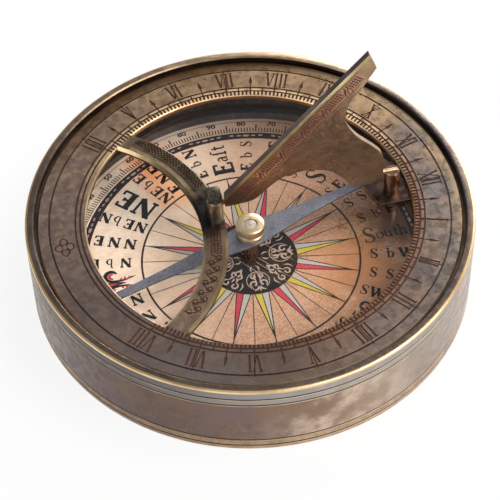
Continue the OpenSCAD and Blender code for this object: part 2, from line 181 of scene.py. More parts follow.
def letter_shapes():
    """Width and strokes of each letter on the card, on a capital height of 1.
    A stroke is a row of points with its breadth at each."""
    return {
        "N": (0.95, [stem(0.13, width=THIN), slant((0.13, 1), (0.82, 0), THICK),
                     stem(0.82, width=THIN), bar(-0.02, 0.3, 0.03), bar(0, 0.26, 0.97),
                     bar(0.66, 0.98, 0.97)]),
        "E": (0.78, [stem(0.18), bar(0.0, 0.72, 0.03), bar(0.0, 0.7, 0.97),
                     bar(0.18, 0.5, 0.51), stem(0.7, 0.02, 0.27, THIN),
                     stem(0.67, 0.76, 0.98, THIN), stem(0.5, 0.4, 0.62, THIN)]),
        "S": (0.62, [smooth([(0.53, 0.75, 0.06), (0.46, 0.91, 0.07), (0.3, 0.98, 0.08),
                             (0.13, 0.9, 0.11), (0.1, 0.73, 0.15), (0.2, 0.58, 0.19),
                             (0.4, 0.43, 0.21), (0.52, 0.27, 0.16), (0.46, 0.1, 0.11),
                             (0.3, 0.02, 0.08), (0.12, 0.08, 0.07), (0.05, 0.26, 0.06)]),
                     stem(0.54, 0.7, 0.97, 0.06), stem(0.05, 0.03, 0.3, 0.06)]),
        "W": (1.25, [slant((0.1, 1), (0.4, 0), THICK * 0.9), slant((0.4, 0), (0.66, 0.95), THIN),
                     slant((0.6, 1), (0.9, 0), THICK * 0.9), slant((0.9, 0), (1.15, 1), THIN),
                     bar(-0.05, 0.28, 0.97), bar(0.46, 0.76, 0.97), bar(1.02, 1.3, 0.97)]),
        "b": (0.66, [stem(0.14, width=0.14), bar(0.0, 0.14, 0.97),
                     smooth([(0.14, 0.5, 0.06), (0.36, 0.63, 0.09), (0.55, 0.33, 0.18),
                             (0.36, 0.02, 0.09), (0.14, 0.1, 0.06)])]),
        "a": (0.56, [smooth([(0.1, 0.5, 0.08), (0.24, 0.63, 0.08), (0.38, 0.48, 0.14),
                             (0.38, 0.12, 0.14), (0.52, 0.03, 0.06)]),
                     smooth([(0.38, 0.38, 0.06), (0.16, 0.32, 0.08), (0.09, 0.16, 0.13),
                             (0.2, 0.03, 0.08), (0.38, 0.13, 0.06)])]),
        "f": (0.38, [stem(0.15, 0.0, 0.82, 0.14), bar(0.02, 0.3, 0.03),
                     smooth([(0.15, 0.78, 0.12), (0.22, 0.96, 0.09), (0.4, 0.95, 0.1)]),
                     bar(0.04, 0.15, 0.6)]),
        "t": (0.4, [smooth([(0.15, 0.86, 0.1), (0.15, 0.5, 0.14), (0.16, 0.12, 0.13),
                            (0.25, 0.02, 0.08), (0.37, 0.1, 0.05)]), bar(0.02, 0.34, 0.62)]),
        "o": (0.58, [smooth([(0.29, 0.64, 0.07), (0.09, 0.5, 0.12), (0.08, 0.2, 0.13),
                             (0.29, 0.0, 0.07), (0.5, 0.17, 0.12), (0.5, 0.48, 0.13),
                             (0.29, 0.64, 0.07)])]),
        "u": (0.62, [smooth([(0.12, 0.62, 0.13), (0.12, 0.2, 0.13), (0.26, 0.02, 0.08),
                             (0.45, 0.14, 0.06)]), stem(0.48, 0.0, 0.62, 0.13),
                     bar(0.0, 0.14, 0.6), bar(0.48, 0.6, 0.03)]),
        "h": (0.64, [stem(0.13, width=0.13), bar(0.0, 0.14, 0.97), bar(0.02, 0.25, 0.03),
                     smooth([(0.13, 0.45, 0.06), (0.32, 0.62, 0.09), (0.48, 0.45, 0.13),
                             (0.48, 0.0, 0.13)]), bar(0.38, 0.6, 0.03)]),
        "e": (0.54, [bar(0.1, 0.46, 0.34), smooth([
            (0.46, 0.34, 0.08), (0.4, 0.58, 0.09), (0.22, 0.63, 0.09), (0.08, 0.36, 0.14),
            (0.2, 0.04, 0.1), (0.46, 0.12, 0.06)])]),
    }


LETTERS = letter_shapes()


def roman_strokes(numeral):
    """Strokes of a Roman numeral as (kind, points with breadths), centred on x = 0."""
    widths = {"I": 0.98, "V": 1.85, "X": 1.85}
    strong, fine, serif = 0.5, 0.26, 0.22
    x = -sum(widths[mark] for mark in numeral) / 2
    out = []
    for mark in numeral:
        width = widths[mark]
        mid, left, right = x + width / 2, x + 0.22, x + width - 0.22
        serifs = []
        if mark == "I":
            out.append(("strong", slant((mid, 0), (mid, NUMERAL_H), strong)))
            serifs = [(mid, 0), (mid, NUMERAL_H)]
        elif mark == "V":
            out.append(("strong", slant((left, NUMERAL_H), (mid, 0), strong)))
            out.append(("fine", slant((right, NUMERAL_H), (mid + 0.1, 0.1), fine)))
            serifs = [(left, NUMERAL_H), (right, NUMERAL_H)]
        else:
            out.append(("strong", slant((left, NUMERAL_H), (right, 0), strong)))
            out.append(("fine", slant((right, NUMERAL_H), (left, 0), fine)))
            serifs = [(left, 0), (right, 0), (left, NUMERAL_H), (right, NUMERAL_H)]
        for serif_x, serif_y in serifs:
            out.append(("serif", bar(serif_x - 0.38, serif_x + 0.38, serif_y, serif)))
        x += width
    return out


# Solids: gathered in millimetres, and made meshes in metres

class Shapes:
    """Closed solids gathered for one mesh."""

    def __init__(self):
        self.points = []
        self.faces = []

    def join(self, rings):
        """Joins equal rings of points into a closed solid with flat ends."""
        start = len(self.points)
        count = len(rings[0])
        last = start + count * (len(rings) - 1)
        for ring in rings:
            self.points += ring
        self.faces.append([start + i for i in range(count)])
        self.faces.append([last + i for i in range(count)])
        for k in range(len(rings) - 1):
            for i in range(count):
                near = start + k * count + i
                beside = start + k * count + (i + 1) % count
                self.faces.append([near, beside, beside + count, near + count])

    def plate(self, outline, low, high):
        self.join([[(x, y, z) for x, y in outline] for z in (low, high)])

    def washer(self, in_r, out_r, low, high, steps=180):
        """A flat ring."""
        start = len(self.points)
        for i in range(steps):
            inner = polar(in_r, 360 * i / steps)
            outer = polar(out_r, 360 * i / steps)
            self.points += [(*inner, low), (*outer, low), (*outer, high), (*inner, high)]
        for i in range(steps):
            near, far = start + 4 * i, start + 4 * ((i + 1) % steps)
            for a in range(4):
                b = (a + 1) % 4
                self.faces.append([near + a, near + b, far + b, far + a])

    def stroke(self, line, low, high, foot=1.0):
        """A flat stroke along points with breadths. foot narrows its underside, as a
        graver's cut is narrow at its bottom."""
        rings = []
        for i, (x, y, width) in enumerate(line):
            before, after = line[max(i - 1, 0)], line[min(i + 1, len(line) - 1)]
            way = Vector((after[0] - before[0], after[1] - before[1])).normalized()
            side_x, side_y = -way.y * width / 2, way.x * width / 2
            rings.append([(x - side_x, y - side_y, high), (x + side_x, y + side_y, high),
                          (x + side_x * foot, y + side_y * foot, low),
                          (x - side_x * foot, y - side_y * foot, low)])
        self.join(rings)

    def moved(self, place):
        """The same solids with each point put through a function."""
        out = Shapes()
        out.points = [place(point) for point in self.points]
        out.faces = self.faces
        return out

    def add(self, other):
        start = len(self.points)
        self.points += other.points
        self.faces += [[start + i for i in face] for face in other.faces]

    def mesh(self, name):
        data = bpy.data.meshes.new(name)
        data.from_pydata([tuple(c * MM for c in point) for point in self.points], [], self.faces)
        tidy_mesh(data)
        return data


def tidy_mesh(data, merge=0.0, flat_angle=0.0):
    """Merges close points, dissolves flat seams where asked, and turns faces outwards."""
    edit = bmesh.new()
    edit.from_mesh(data)
    if merge:
        bmesh.ops.remove_doubles(edit, verts=edit.verts, dist=merge)
    if flat_angle:
        bmesh.ops.dissolve_limit(edit, angle_limit=flat_angle, verts=edit.verts, edges=edit.edges)
    bmesh.ops.recalc_face_normals(edit, faces=edit.faces)
    edit.to_mesh(data)
    edit.free()


def smooth_shading(data, degrees):
    for polygon in data.polygons:
        polygon.use_smooth = True
    data.set_sharp_from_angle(angle=math.radians(degrees))


def baked(obj):
    """The object's mesh with its modifiers carried out."""
    graph = bpy.context.evaluated_depsgraph_get()
    return bpy.data.meshes.new_from_object(obj.evaluated_get(graph))


def linked(name, data):
    obj = bpy.data.objects.new(name, data)
    SCENE.collection.objects.link(obj)
    return obj


def discard(*objects):
    for obj in objects:
        bpy.data.objects.remove(obj)


def piece(name, data, body, stands_for=(), smooth=None, material=None):
    """A finished piece on its body, with edges under smooth degrees shaded smooth."""
    if material:
        data.materials.append(material)
    if smooth:
        smooth_shading(data, smooth)
    obj = linked(name, data)
    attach(obj, body)
    if stands_for:
        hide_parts(*stands_for)


def copy_of_node(node, materials, flat_angle=0.0):
    """A merged copy of a CAD node's mesh, in its own materials, for a piece that stands
    for it."""
    data = NODES[node].data.copy()
    data.materials.clear()
    for material in materials:
        data.materials.append(material)
    data.attributes.remove(data.attributes["custom_normal"])
    tidy_mesh(data, merge=1e-6, flat_angle=math.radians(flat_angle))
    return data


def bevelled(data, width, angle, segments=1):
    """The mesh with its sharp edges bevelled, the bevels in its second material."""
    obj = linked("bevelling", data)
    edge = obj.modifiers.new("Bevel", "BEVEL")
    edge.width = width * MM
    edge.segments = segments
    edge.limit_method = "ANGLE"
    edge.angle_limit = math.radians(angle)
    edge.material = 1
    result = baked(obj)
    discard(obj)
    return result


def engraved(data, cuts, fill):
    """The mesh with solids cut out of it, one after another; the cuts' faces get fill."""
    obj = linked("engraving", data)
    for cut in cuts:
        cutter = linked("cutter", cut)
        if not cut.materials:
            cut.materials.append(fill)
        knife = obj.modifiers.new("Cut", "BOOLEAN")
        knife.operation = "DIFFERENCE"
        knife.solver = "MANIFOLD"
        knife.material_mode = "TRANSFER"
        knife.object = cutter
        result = baked(obj)
        discard(obj, cutter)
        obj = linked("engraving", result)
    discard(obj)
    return result


# Geometry Nodes trees

def tree_with(name, inputs):
    """A geometry tree with named inputs, still empty, and their sockets."""
    tree = bpy.data.node_groups.new(name, "GeometryNodeTree")
    for label, kind in (("Geometry", "Geometry"), *inputs, ("Material", "Material")):
        tree.interface.new_socket(label, in_out="INPUT", socket_type="NodeSocket" + kind)
    tree.interface.new_socket("Geometry", in_out="OUTPUT", socket_type="NodeSocketGeometry")
    return tree, tree.nodes.new("NodeGroupInput").outputs


def give(tree, socket, value):
    """Sets a socket to a value, or links another node's output to it."""
    if isinstance(value, bpy.types.NodeSocket):
        tree.links.new(value, socket)
    else:
        socket.default_value = value


def node_in(tree, kind, inputs=None, **settings):
    """The outputs of a new node with its settings and its inputs."""
    node = tree.nodes.new(kind)
    for name, value in settings.items():
        setattr(node, name, value)
    for socket, value in (inputs or {}).items():
        give(tree, node.inputs[socket], value)
    return node.outputs


def math_in(tree, operation, *values, **settings):
    return node_in(tree, "ShaderNodeMath", dict(enumerate(values)), operation=operation,
                   **settings)[0]


def ramp_in(tree, value, low, high, out_low=0.0, out_high=1.0):
    """A smooth step from one level to another, as a value goes from low to high."""
    return node_in(tree, "ShaderNodeMapRange", {
        0: value, 1: low, 2: high, 3: out_low, 4: out_high},
        interpolation_type="SMOOTHSTEP")[0]


def finish_tree(tree, given, geometry):
    """Ends a geometry tree: its geometry is made real and painted."""
    real = node_in(tree, "GeometryNodeRealizeInstances", {0: geometry})[0]
    painted = node_in(tree, "GeometryNodeSetMaterial", {
        "Geometry": real, "Material": given["Material"]})[0]
    give(tree, tree.nodes.new("NodeGroupOutput").inputs[0], painted)
    return tree


def repeat_tree():
    """Repeats its own mesh round the Z axis."""
    tree, given = tree_with("Repeat round the axis", [
        ("Count", "Int"), ("First Angle", "Float"), ("Step Angle", "Float")])
    places = node_in(tree, "GeometryNodeMeshLine", {
        "Count": given["Count"], "Offset": (0, 0, 0)})[0]
    index = node_in(tree, "GeometryNodeInputIndex")[0]
    turn = math_in(tree, "MULTIPLY_ADD", index, given["Step Angle"], given["First Angle"])
    copies = node_in(tree, "GeometryNodeInstanceOnPoints", {
        "Points": places, "Instance": given["Geometry"],
        "Rotation": node_in(tree, "ShaderNodeCombineXYZ", {"Z": turn})[0]})[0]
    return finish_tree(tree, given, copies)


def turning_tree():
    """Turns its own mesh, a closed profile drawn round a path circle, into a solid."""
    tree, given = tree_with("Turn on the lathe", [("Facets", "Int"), ("Path Radius", "Float")])
    path = node_in(tree, "GeometryNodeCurvePrimitiveCircle", {
        "Resolution": given["Facets"], "Radius": given["Path Radius"]})[0]
    profile = node_in(tree, "GeometryNodeMeshToCurve", {0: given["Geometry"]})[0]
    swept = node_in(tree, "GeometryNodeCurveToMesh", {"Curve": path, "Profile Curve": profile})[0]
    return finish_tree(tree, given, swept)


REPEAT_TREE = repeat_tree()
TURNING_TREE = turning_tree()


def through_tree(data, tree, values):
    """The mesh put through a geometry tree, with its inputs set by name."""
    obj = linked("making", data)
    modifier = obj.modifiers.new("Making", "NODES")
    modifier.node_group = tree
    for socket in tree.interface.items_tree:
        if socket.in_out == "INPUT" and socket.name in values:
            modifier[socket.identifier] = values[socket.name]
    result = baked(obj)
    discard(obj)
    return result


def repeated(name, shapes, count, first, step, material):
    """Solids repeated round the axis, from a first angle on, in degrees."""
    data = through_tree(shapes.mesh(name), REPEAT_TREE, {
        "Count": count, "First Angle": math.radians(first), "Step Angle": math.radians(step),
        "Material": material})
    data.name = name
    return data


def turned(name, profile, material, facets):
    """A solid turned from a closed profile of radii and heights, in millimetres."""
    path_r = 10
    data = bpy.data.meshes.new(name)
    count = len(profile)
    data.from_pydata([((r - path_r) * MM, -z * MM, 0) for r, z in profile],
                     [(i, (i + 1) % count) for i in range(count)], [])
    result = through_tree(data, TURNING_TREE, {
        "Facets": facets, "Path Radius": path_r * MM, "Material": material})
    tidy_mesh(result, merge=1e-7)
    result.name = name
    return result


# Materials

def pattern_group():
    """Patches, mottling, grain, a slow drift and fine scratch streaks, each from 0 to 1."""
    group = bpy.data.node_groups.new("Aged surface", "ShaderNodeTree")
    for way, labels in (("INPUT", ("Patch Size", "Grain Size", "Shift")),
                        ("OUTPUT", ("Patches", "Mottle", "Grain", "Drift", "Scratches"))):
        for label in labels:
            group.interface.new_socket(label, in_out=way, socket_type="NodeSocketFloat")
    given = group.nodes.new("NodeGroupInput").outputs
    result = group.nodes.new("NodeGroupOutput").inputs
    patch, grain = given["Patch Size"], given["Grain Size"]
    moved = node_in(group, "ShaderNodeVectorMath", {
        0: node_in(group, "ShaderNodeTexCoord")["Object"], 1: given["Shift"]},
        operation="ADD")[0]

    def noise(scale, detail, roughness, low, high, where=moved):
        cloud = node_in(group, "ShaderNodeTexNoise", {
            "Vector": where, "Scale": scale, "Detail": detail, "Roughness": roughness})
        return ramp_in(group, cloud["Fac"], low, high)

    streaks = []
    for turn, thin in ((0.5, 1.0), (-0.7, 1.6)):
        across = node_in(group, "ShaderNodeVectorRotate", {"Vector": moved, "Angle": turn},
                         rotation_type="Z_AXIS")[0]
        drawn_out = node_in(group, "ShaderNodeVectorMath", {0: across, 1: (thin, 0.14, 0.6)},
                            operation="MULTIPLY")[0]
        streaks.append(noise(grain, 3, 0.75, 0.58, 0.78, drawn_out))
    for label, value in (
            ("Patches", noise(patch, 4, 0.6, 0.36, 0.66)),
            ("Mottle", noise(math_in(group, "MULTIPLY", patch, 4.5), 6, 0.7, 0.35, 0.68)),
            ("Grain", noise(grain, 3, 0.6, 0.3, 0.7)),
            ("Drift", noise(math_in(group, "MULTIPLY", patch, 0.3), 2, 0.5, 0.38, 0.62)),
            ("Scratches", math_in(group, "MAXIMUM", *streaks))):
        give(group, result[label], value)
    return group


PATTERN = pattern_group()


class Paint:
    """A material with one Principled BSDF and the aged-surface patterns beside it. Other
    colours are laid over its base."""

    def __init__(self, name, patch=120.0, grain=1500.0, shift=0.0):
        self.material = bpy.data.materials.new(name)
        self.material.use_nodes = True
        self.tree = self.material.node_tree
        self.shader = self.tree.nodes["Principled BSDF"]
        self.patterns = node_in(self.tree, "ShaderNodeGroup", {
            "Patch Size": patch, "Grain Size": grain, "Shift": shift}, node_tree=PATTERN)
        self.base = None

    def pattern(self, name, share=None):
        out = self.patterns[name]
        return self.times(out, share) if share else out

    def mix(self, amount, first, second):
        colours = [colour if isinstance(colour, bpy.types.NodeSocket) else (*colour, 1)
                   for colour in (first, second)]
        return node_in(self.tree, "ShaderNodeMix", {0: amount, 6: colours[0], 7: colours[1]},
                       data_type="RGBA")[2]

    def patchy(self, first, second):
        return self.mix(self.pattern("Patches"), first, second)

    def mottled(self, first, second):
        return self.mix(self.pattern("Mottle"), first, second)

    def over(self, share, colour):
        """Lays a colour over the base, by a share from 0 to 1."""
        self.base = self.mix(share, self.base, colour)

    def math(self, operation, *values):
        return math_in(self.tree, operation, *values)

    def times(self, first, *others):
        for other in others:
            first = self.math("MULTIPLY", first, other)
        return first

    def ramp(self, value, *levels):
        return ramp_in(self.tree, value, *levels)

    def ramp_mm(self, distance, low, high, *levels):
        return self.ramp(distance, low * MM, high * MM, *levels)

    def place(self):
        """Object coordinates as (x, y, z) outputs, in metres."""
        where = node_in(self.tree, "ShaderNodeTexCoord")["Object"]
        return node_in(self.tree, "ShaderNodeSeparateXYZ", {0: where})

    def from_axis(self, centre_x=0, centre_y=0):
        """Distance from a vertical axis, in metres."""
        x, y, _ = self.place()
        across = self.math("SUBTRACT", x, centre_x * MM)
        along = self.math("SUBTRACT", y, centre_y * MM)
        return self.math("SQRT", self.math("ADD", self.times(across, across),
                                           self.times(along, along)))

    def facing(self, angle, low, high, share=1.0):
        """0 to a share across the object towards a direction, between two distances."""
        x, y, _ = self.place()
        cos, sin = polar(1, angle)
        reach = self.math("ADD", self.times(x, cos), self.times(y, sin))
        return self.ramp_mm(reach, low, high, 0.0, share)

    def ragged(self, distance, pattern, by):
        """A distance made uneven by a pattern, by some millimetres."""
        return self.math("MULTIPLY_ADD", self.pattern(pattern), by * MM, distance)

    def grain_hills(self, strength):
        bump = node_in(self.tree, "ShaderNodeBump", {
            "Height": self.pattern("Grain"), "Strength": strength, "Distance": 0.00002})
        give(self.tree, self.shader.inputs["Normal"], bump[0])

    def finish(self, metallic=None, rough=None, specular=None):
        """Feeds the shader, and gives the material."""
        for name, value in (("Base Color", self.base), ("Metallic", metallic),
                            ("Roughness", rough), ("Specular IOR Level", specular)):
            if value is not None:
                give(self.tree, self.shader.inputs[name], value)
        return self.material

    def show_both(self, share, first, second):
        """Mixes two shaders into the surface."""
        both = node_in(self.tree, "ShaderNodeMixShader", {0: share, 1: first, 2: second})[0]
        give(self.tree, self.tree.nodes["Material Output"].inputs["Surface"], both)


def brass(name, light, dark, tint, rough, patch, shift, tint_share=0.6, speckle=0.45):
    """Aged brass: light metal showing through dark patches, with a drifting tint."""
    paint = Paint(name, patch, 1800.0, shift)
    paint.base = paint.patchy(dark, light)
    paint.over(paint.pattern("Drift", tint_share), tint)
    paint.over(paint.pattern("Mottle", speckle), dark)
    paint.over(paint.pattern("Scratches", 0.3), [channel * 1.5 for channel in light])
    grain = paint.ramp(paint.pattern("Grain"), 0.0, 1.0, 0.8, 1.0)
    paint.base = paint.mix(grain, (0, 0, 0), paint.base)
    paint.grain_hills(0.25)
    paint.finish(1.0, paint.ramp(paint.pattern("Mottle"), 0, 1, *rough))
    return paint


def polished(name, light, dark, rough, shift):
    """Brass kept smooth and clean by handling."""
    paint = Paint(name, 80, shift=shift)
    paint.base = paint.patchy(dark, light)
    return paint.finish(1.0, rough)


def two_tone(name, patch, shift, facing, near, far):
    """Two patchy tones, from one side of the object to the other."""
    paint = Paint(name, patch, shift=shift)
    paint.base = paint.mix(paint.facing(*facing), paint.patchy(*near), paint.patchy(*far))
    return paint


def case_brass():
    """The band's brass: bright and warm at the right front as a painted reflection of the lit
    floor, with painted shade at the far right; browner in front, darker towards the far left,
    with purple and blue stains to the left, and a painted grey-blue reflection above the
    upper lines."""
    paint = brass("Side brass", (0.31, 0.19, 0.125), (0.14, 0.088, 0.068), (0.19, 0.135, 0.135),
                  (0.24, 0.40), 110, 0.3, speckle=0.65)
    height = paint.place()[2]
    # Painted reflection: bright, warm brass at the right front.
    paint.over(paint.facing(-36, 17, 30, 0.9),
               paint.patchy((0.54, 0.39, 0.28), (0.84, 0.66, 0.51)))
    # Painted shade: greyer brown where the band turns away at the far right.
    paint.over(paint.facing(12, 1, 18, 0.85), (0.34, 0.26, 0.21))
    blue = paint.mottled((0.10, 0.095, 0.18), (0.17, 0.11, 0.13))
    stained = paint.mix(paint.pattern("Drift"), blue, (0.24, 0.15, 0.10))
    share = paint.ramp(paint.pattern("Patches"), 0, 1, 0.9, 0.25)
    paint.over(paint.times(paint.facing(-132, 12, 34), share), stained)
    # Painted reflection: grey-blue above the upper lines, lighter to the right front.
    sky_reflection = paint.mix(paint.facing(-30, -20, 24), (0.20, 0.205, 0.215), (0.40, 0.39, 0.38))
    paint.over(paint.ramp_mm(height, BAND_LINES[2] - 0.1, BAND_LINES[2] + 0.1, 0.0, 0.7), sky_reflection)
    foot = paint.mottled((0.62, 0.42, 0.25), (0.36, 0.22, 0.13))
    paint.over(paint.ramp_mm(height, BAND_LINES[1] - 0.1, BAND_LINES[1] + 0.1, 0.6, 0.0), foot)
    paint.over(paint.facing(-165, 20, 38, 0.36), (0, 0, 0))
    return paint.finish()


def dial_brass():
    """The dial's brass: golden at the far side as a painted highlight, greyer and darker to the
    left, partly its tone and partly painted shade, with a dull outer band, a painted highlight
    by the opening at the back, a painted sheen along the bow's inner third, and a painted
    black shadow round the bow post."""
    paint = brass("Dial brass", (0.45, 0.285, 0.165), (0.22, 0.135, 0.085), (0.23, 0.20, 0.20),
                  (0.27, 0.42), 115, 1.3, tint_share=0.75, speckle=0.4)
    far = paint.from_axis()
    # Painted highlight: golden brass at the far side.
    paint.over(paint.facing(80, -4, 34, 0.6),
               paint.patchy((0.36, 0.215, 0.11), (0.58, 0.385, 0.21)))
    paint.over(paint.facing(-12, 22, 38, 0.6),
               paint.patchy((0.21, 0.205, 0.215), (0.37, 0.26, 0.19)))
    # Greyer tone to the left, darkened with painted shade.
    left_low = paint.mottled((0.275, 0.23, 0.225), (0.17, 0.145, 0.155))
    paint.over(paint.facing(190, 6, 36, 0.6),
               paint.mix(paint.facing(110, -16, 24), left_low, (0.42, 0.31, 0.26)))
    paint.over(paint.facing(-95, 20, 38, 0.5),
               paint.mottled((0.42, 0.32, 0.28), (0.24, 0.19, 0.18)))
    band = paint.ramp_mm(far, OUTER_CIRCLE_R + 0.1, OUTER_CIRCLE_R + 0.4)
    paint.over(paint.times(band, paint.facing(100, 22, 38, 0.85)), (0.15, 0.075, 0.032))
    outer = paint.ramp_mm(far, OUTER_CIRCLE_R + 0.7, OUTER_CIRCLE_R + 1.7)
    paint.over(paint.times(outer, paint.facing(15, 24, 40, 0.6)), (0.50, 0.37, 0.22))
    inner = paint.times(paint.ramp_mm(far, BAND_IN_R, BAND_IN_R + 1.2, 0.9, 0),
                        paint.ramp_mm(far, RING_IN_R - 0.3, RING_IN_R))
    paint.over(paint.times(inner, paint.facing(-20, 2, 24)), (0.30, 0.165, 0.105))
    # Painted highlight on the land by the opening, at the back.
    paint.over(paint.times(inner, paint.facing(85, 2, 28)), (0.86, 0.63, 0.38))
    within = paint.ramp_mm(far, RING_IN_R - 1, RING_IN_R, 0.75, 0)
    rear = paint.facing(90, 4, 9)
    dull = paint.patchy((0.10, 0.08, 0.055), (0.20, 0.155, 0.10))
    paint.over(within, paint.mix(rear, (0.40, 0.26, 0.17), dull))
    # Painted sheen along the inner third of the bow's rear arm.
    painted_ridge_sheen = paint.ramp_mm(paint.from_axis(BOW_CENTRE_X), BOW_R - BOW_W * 0.26,
                          BOW_R - BOW_W * 0.18, 0.85, 0)
    paint.over(paint.times(painted_ridge_sheen, paint.ramp_mm(far, 30, 31, 1, 0), rear), (0.48, 0.345, 0.20))
    # Painted black shadow of the bow post.
    blacken_by_post(paint)
    return paint.finish()


def blacken_by_post(paint):
    """Painted black shadow round the bow post, centred to its left and back."""
    uneven = paint.ragged(paint.from_axis(BOW_POST_X - 1.6, 1.8), "Mottle", 1.2)
    post_shadow = paint.times(paint.ramp_mm(uneven, 4.2, 9.5, 0.95, 0.0),
                        paint.ramp_mm(paint.from_axis(), 12, 20, 1, 0))
    paint.over(post_shadow, (0.022, 0.02, 0.024))


def bow_edge_brass():
    """The bow's slopes: gold in front, with a painted highlight brightest on the concave side,
    browner behind, and the bow post's painted black shadow."""
    paint = two_tone("Bow edge brass", 120, 1.7, (90, -6, 4),
                     ((0.34, 0.24, 0.13), (0.62, 0.46, 0.27)),
                     ((0.20, 0.14, 0.08), (0.42, 0.31, 0.18)))
    # Painted highlight on the front arm's slopes on the concave side.
    hollow_highlight = paint.ramp_mm(paint.from_axis(BOW_CENTRE_X), BOW_R - 1, BOW_R, 1, 0)
    paint.over(paint.times(hollow_highlight, paint.facing(-90, 4, 12)), (0.95, 0.74, 0.46))
    # Painted black shadow of the bow post.
    blacken_by_post(paint)
    return paint.finish(1.0, 0.36)


def rim_brass():
    """The rim's flat top: blue-grey inside, brown outside, golden brown at the far side as a
    painted highlight.
    """
    paint = brass("Rim top brass", (0.28, 0.24, 0.215), (0.13, 0.115, 0.12),
                  (0.27, 0.185, 0.125), (0.28, 0.40), 190, 4.3)
    outer = paint.ramp_mm(paint.from_axis(), CASE_R - 1.1, CASE_R - 0.6, 0.0, 0.75)
    paint.over(outer, (0.30, 0.165, 0.075))
    # Painted highlight: golden brown at the far side.
    paint.over(paint.facing(95, 22, 40, 0.85),
               paint.patchy((0.32, 0.22, 0.14), (0.46, 0.33, 0.22)))
    return paint.finish()


def post_brass():
    """The bow post: olive brown, with a painted grey reflection at its foot, painted shade on its
    left side and a blackened top.
    """
    paint = Paint("Bow post brass", 260, shift=3.6)
    x, _, height = paint.place()
    paint.base = paint.patchy((0.20, 0.155, 0.095), (0.36, 0.28, 0.18))
    # Painted reflection: greyer towards the post's foot.
    paint.over(paint.ramp_mm(height, RING_TOP + 0.4, RING_TOP + 2.4, 0.85, 0.0),
               (0.36, 0.36, 0.35))
    top = paint.ramp_mm(height, POST_TOP - 0.12, POST_TOP - 0.04)
    # Painted shade: the left side gets the same black as the top.
    left = paint.ramp_mm(x, POST_LEFT + 0.1, POST_LEFT + 0.5, 1, 0)
    paint.over(paint.math("MAXIMUM", top, left),
               paint.mottled((0.03, 0.026, 0.022), (0.12, 0.10, 0.078)))
    return paint.finish(0.9, 0.3)


CASE_BRASS = case_brass()
# Groove shoulders: painted highlight at the right front, painted shade to the left.
GROOVE_EDGE_BRASS = two_tone(
    "Groove edge brass", 80, 0.7, (-30, -6, 26), ((0.20, 0.14, 0.10), (0.36, 0.26, 0.18)),
    ((0.60, 0.42, 0.25), (0.88, 0.68, 0.44))).finish(1.0, 0.34)
WORN_BRASS = polished("Worn edge brass", (0.90, 0.67, 0.39), (0.66, 0.45, 0.24), 0.32, 0.7)
BOW_EDGE_BRASS = bow_edge_brass()
# Opening's chamfer: dark in front, and a painted highlight at the back.
OPENING_BRASS = two_tone(
    "Opening edge brass", 120, 0.9, (105, -22, 4), ((0.24, 0.14, 0.075), (0.46, 0.30, 0.17)),
    ((0.66, 0.45, 0.24), (0.95, 0.72, 0.44))).finish(1.0, 0.36)
RING_EDGE_BRASS = polished("Ring edge brass", (0.56, 0.42, 0.26), (0.34, 0.24, 0.14), 0.4, 2.9)
DIAL_BRASS = dial_brass()
POST_BRASS = polished("Post brass", (0.50, 0.38, 0.24), (0.30, 0.18, 0.12), 0.26, 3.1)
BOW_POST_BRASS = post_brass()
CAP_BRASS = polished("Cap brass", (0.88, 0.70, 0.46), (0.66, 0.49, 0.29), 0.32, 4.0)
RIM_BRASS = rim_brass()
# Dark brass as painted shade on upright, lower and hidden faces.
EDGE_BRASS = polished("Dark edge brass", (0.13, 0.09, 0.065), (0.06, 0.04, 0.03), 0.42, 4.6)
WALL_BRASS = polished("Opening wall brass", (0.42, 0.21, 0.12), (0.24, 0.12, 0.07), 0.36, 4.8)
# Dark brass, partly painted shade where the bracket sits below the ring top; its lighter bevels
# are partly a painted highlight.
BRACKET_BRASS = brass("Bracket brass", (0.19, 0.12, 0.10), (0.07, 0.045, 0.038),
                      (0.12, 0.06, 0.05), (0.24, 0.38), 260, 4.9).material
BRACKET_EDGE_BRASS = polished("Bracket edge brass", (0.46, 0.36, 0.28), (0.22, 0.15, 0.12),
                              0.3, 5.3)
CARD_RING_BRASS = brass("Card ring brass", (0.22, 0.21, 0.20), (0.12, 0.12, 0.12),
                        (0.16, 0.16, 0.17), (0.4, 0.55), 120, 13.0).material


def fill_material():
    """Reddish dirt in the ring's cuts, nearly black in the outer circle."""
    paint = Paint("Engraving fill", 150, shift=5.0)
    paint.base = paint.mix(paint.facing(75, -38, 10), (0.085, 0.035, 0.02), (0.055, 0.020, 0.012))
    outer = paint.ramp_mm(paint.from_axis(), OUTER_CIRCLE_R - 0.5, OUTER_CIRCLE_R - 0.3, 0.0, 0.75)
    paint.over(outer, (0.03, 0.022, 0.018))
    return paint.finish(0.4, 0.55, 0.25)


def lining_material():
    """The blackened lining, a little lighter half way up as a painted reflection, and nearly black
    at its top as painted shade under the ring.
    """
    paint = Paint("Blackened lining", 150, shift=6.0)
    height = paint.place()[2]
    # Painted reflection: a lighter band half way up.
    middle = paint.times(paint.ramp_mm(height, 6.0, 7.2),
                         paint.ramp_mm(height, 11.0, 12.5, 1.0, 0.0))
    paint.base = paint.mix(middle, (0.028, 0.030, 0.033), (0.085, 0.092, 0.098))
    paint.over(paint.pattern("Mottle", 0.7), (0.012, 0.011, 0.011))
    # Painted shade under the ring: nearly black at the top.
    paint.over(paint.ramp_mm(height, 12.0, 13.0, 0.0, 0.9), (0.006, 0.004, 0.003))
    return paint.finish(0.4, 0.36)


def needle_material():
    """Worn blued steel, spotted and scratched."""
    paint = Paint("Blued steel", 190, 2200, 7.0)
    paint.base = paint.patchy((0.070, 0.080, 0.125), (0.14, 0.15, 0.20))
    paint.over(paint.pattern("Mottle", 0.8), (0.17, 0.14, 0.155))
    paint.over(paint.ramp(paint.pattern("Grain"), 0.3, 1, 0, 0.6), (0.045, 0.045, 0.06))
    paint.over(paint.pattern("Scratches", 0.4), (0.26, 0.25, 0.28))
    paint.grain_hills(0.5)
    return paint.finish(0.5, 0.45)


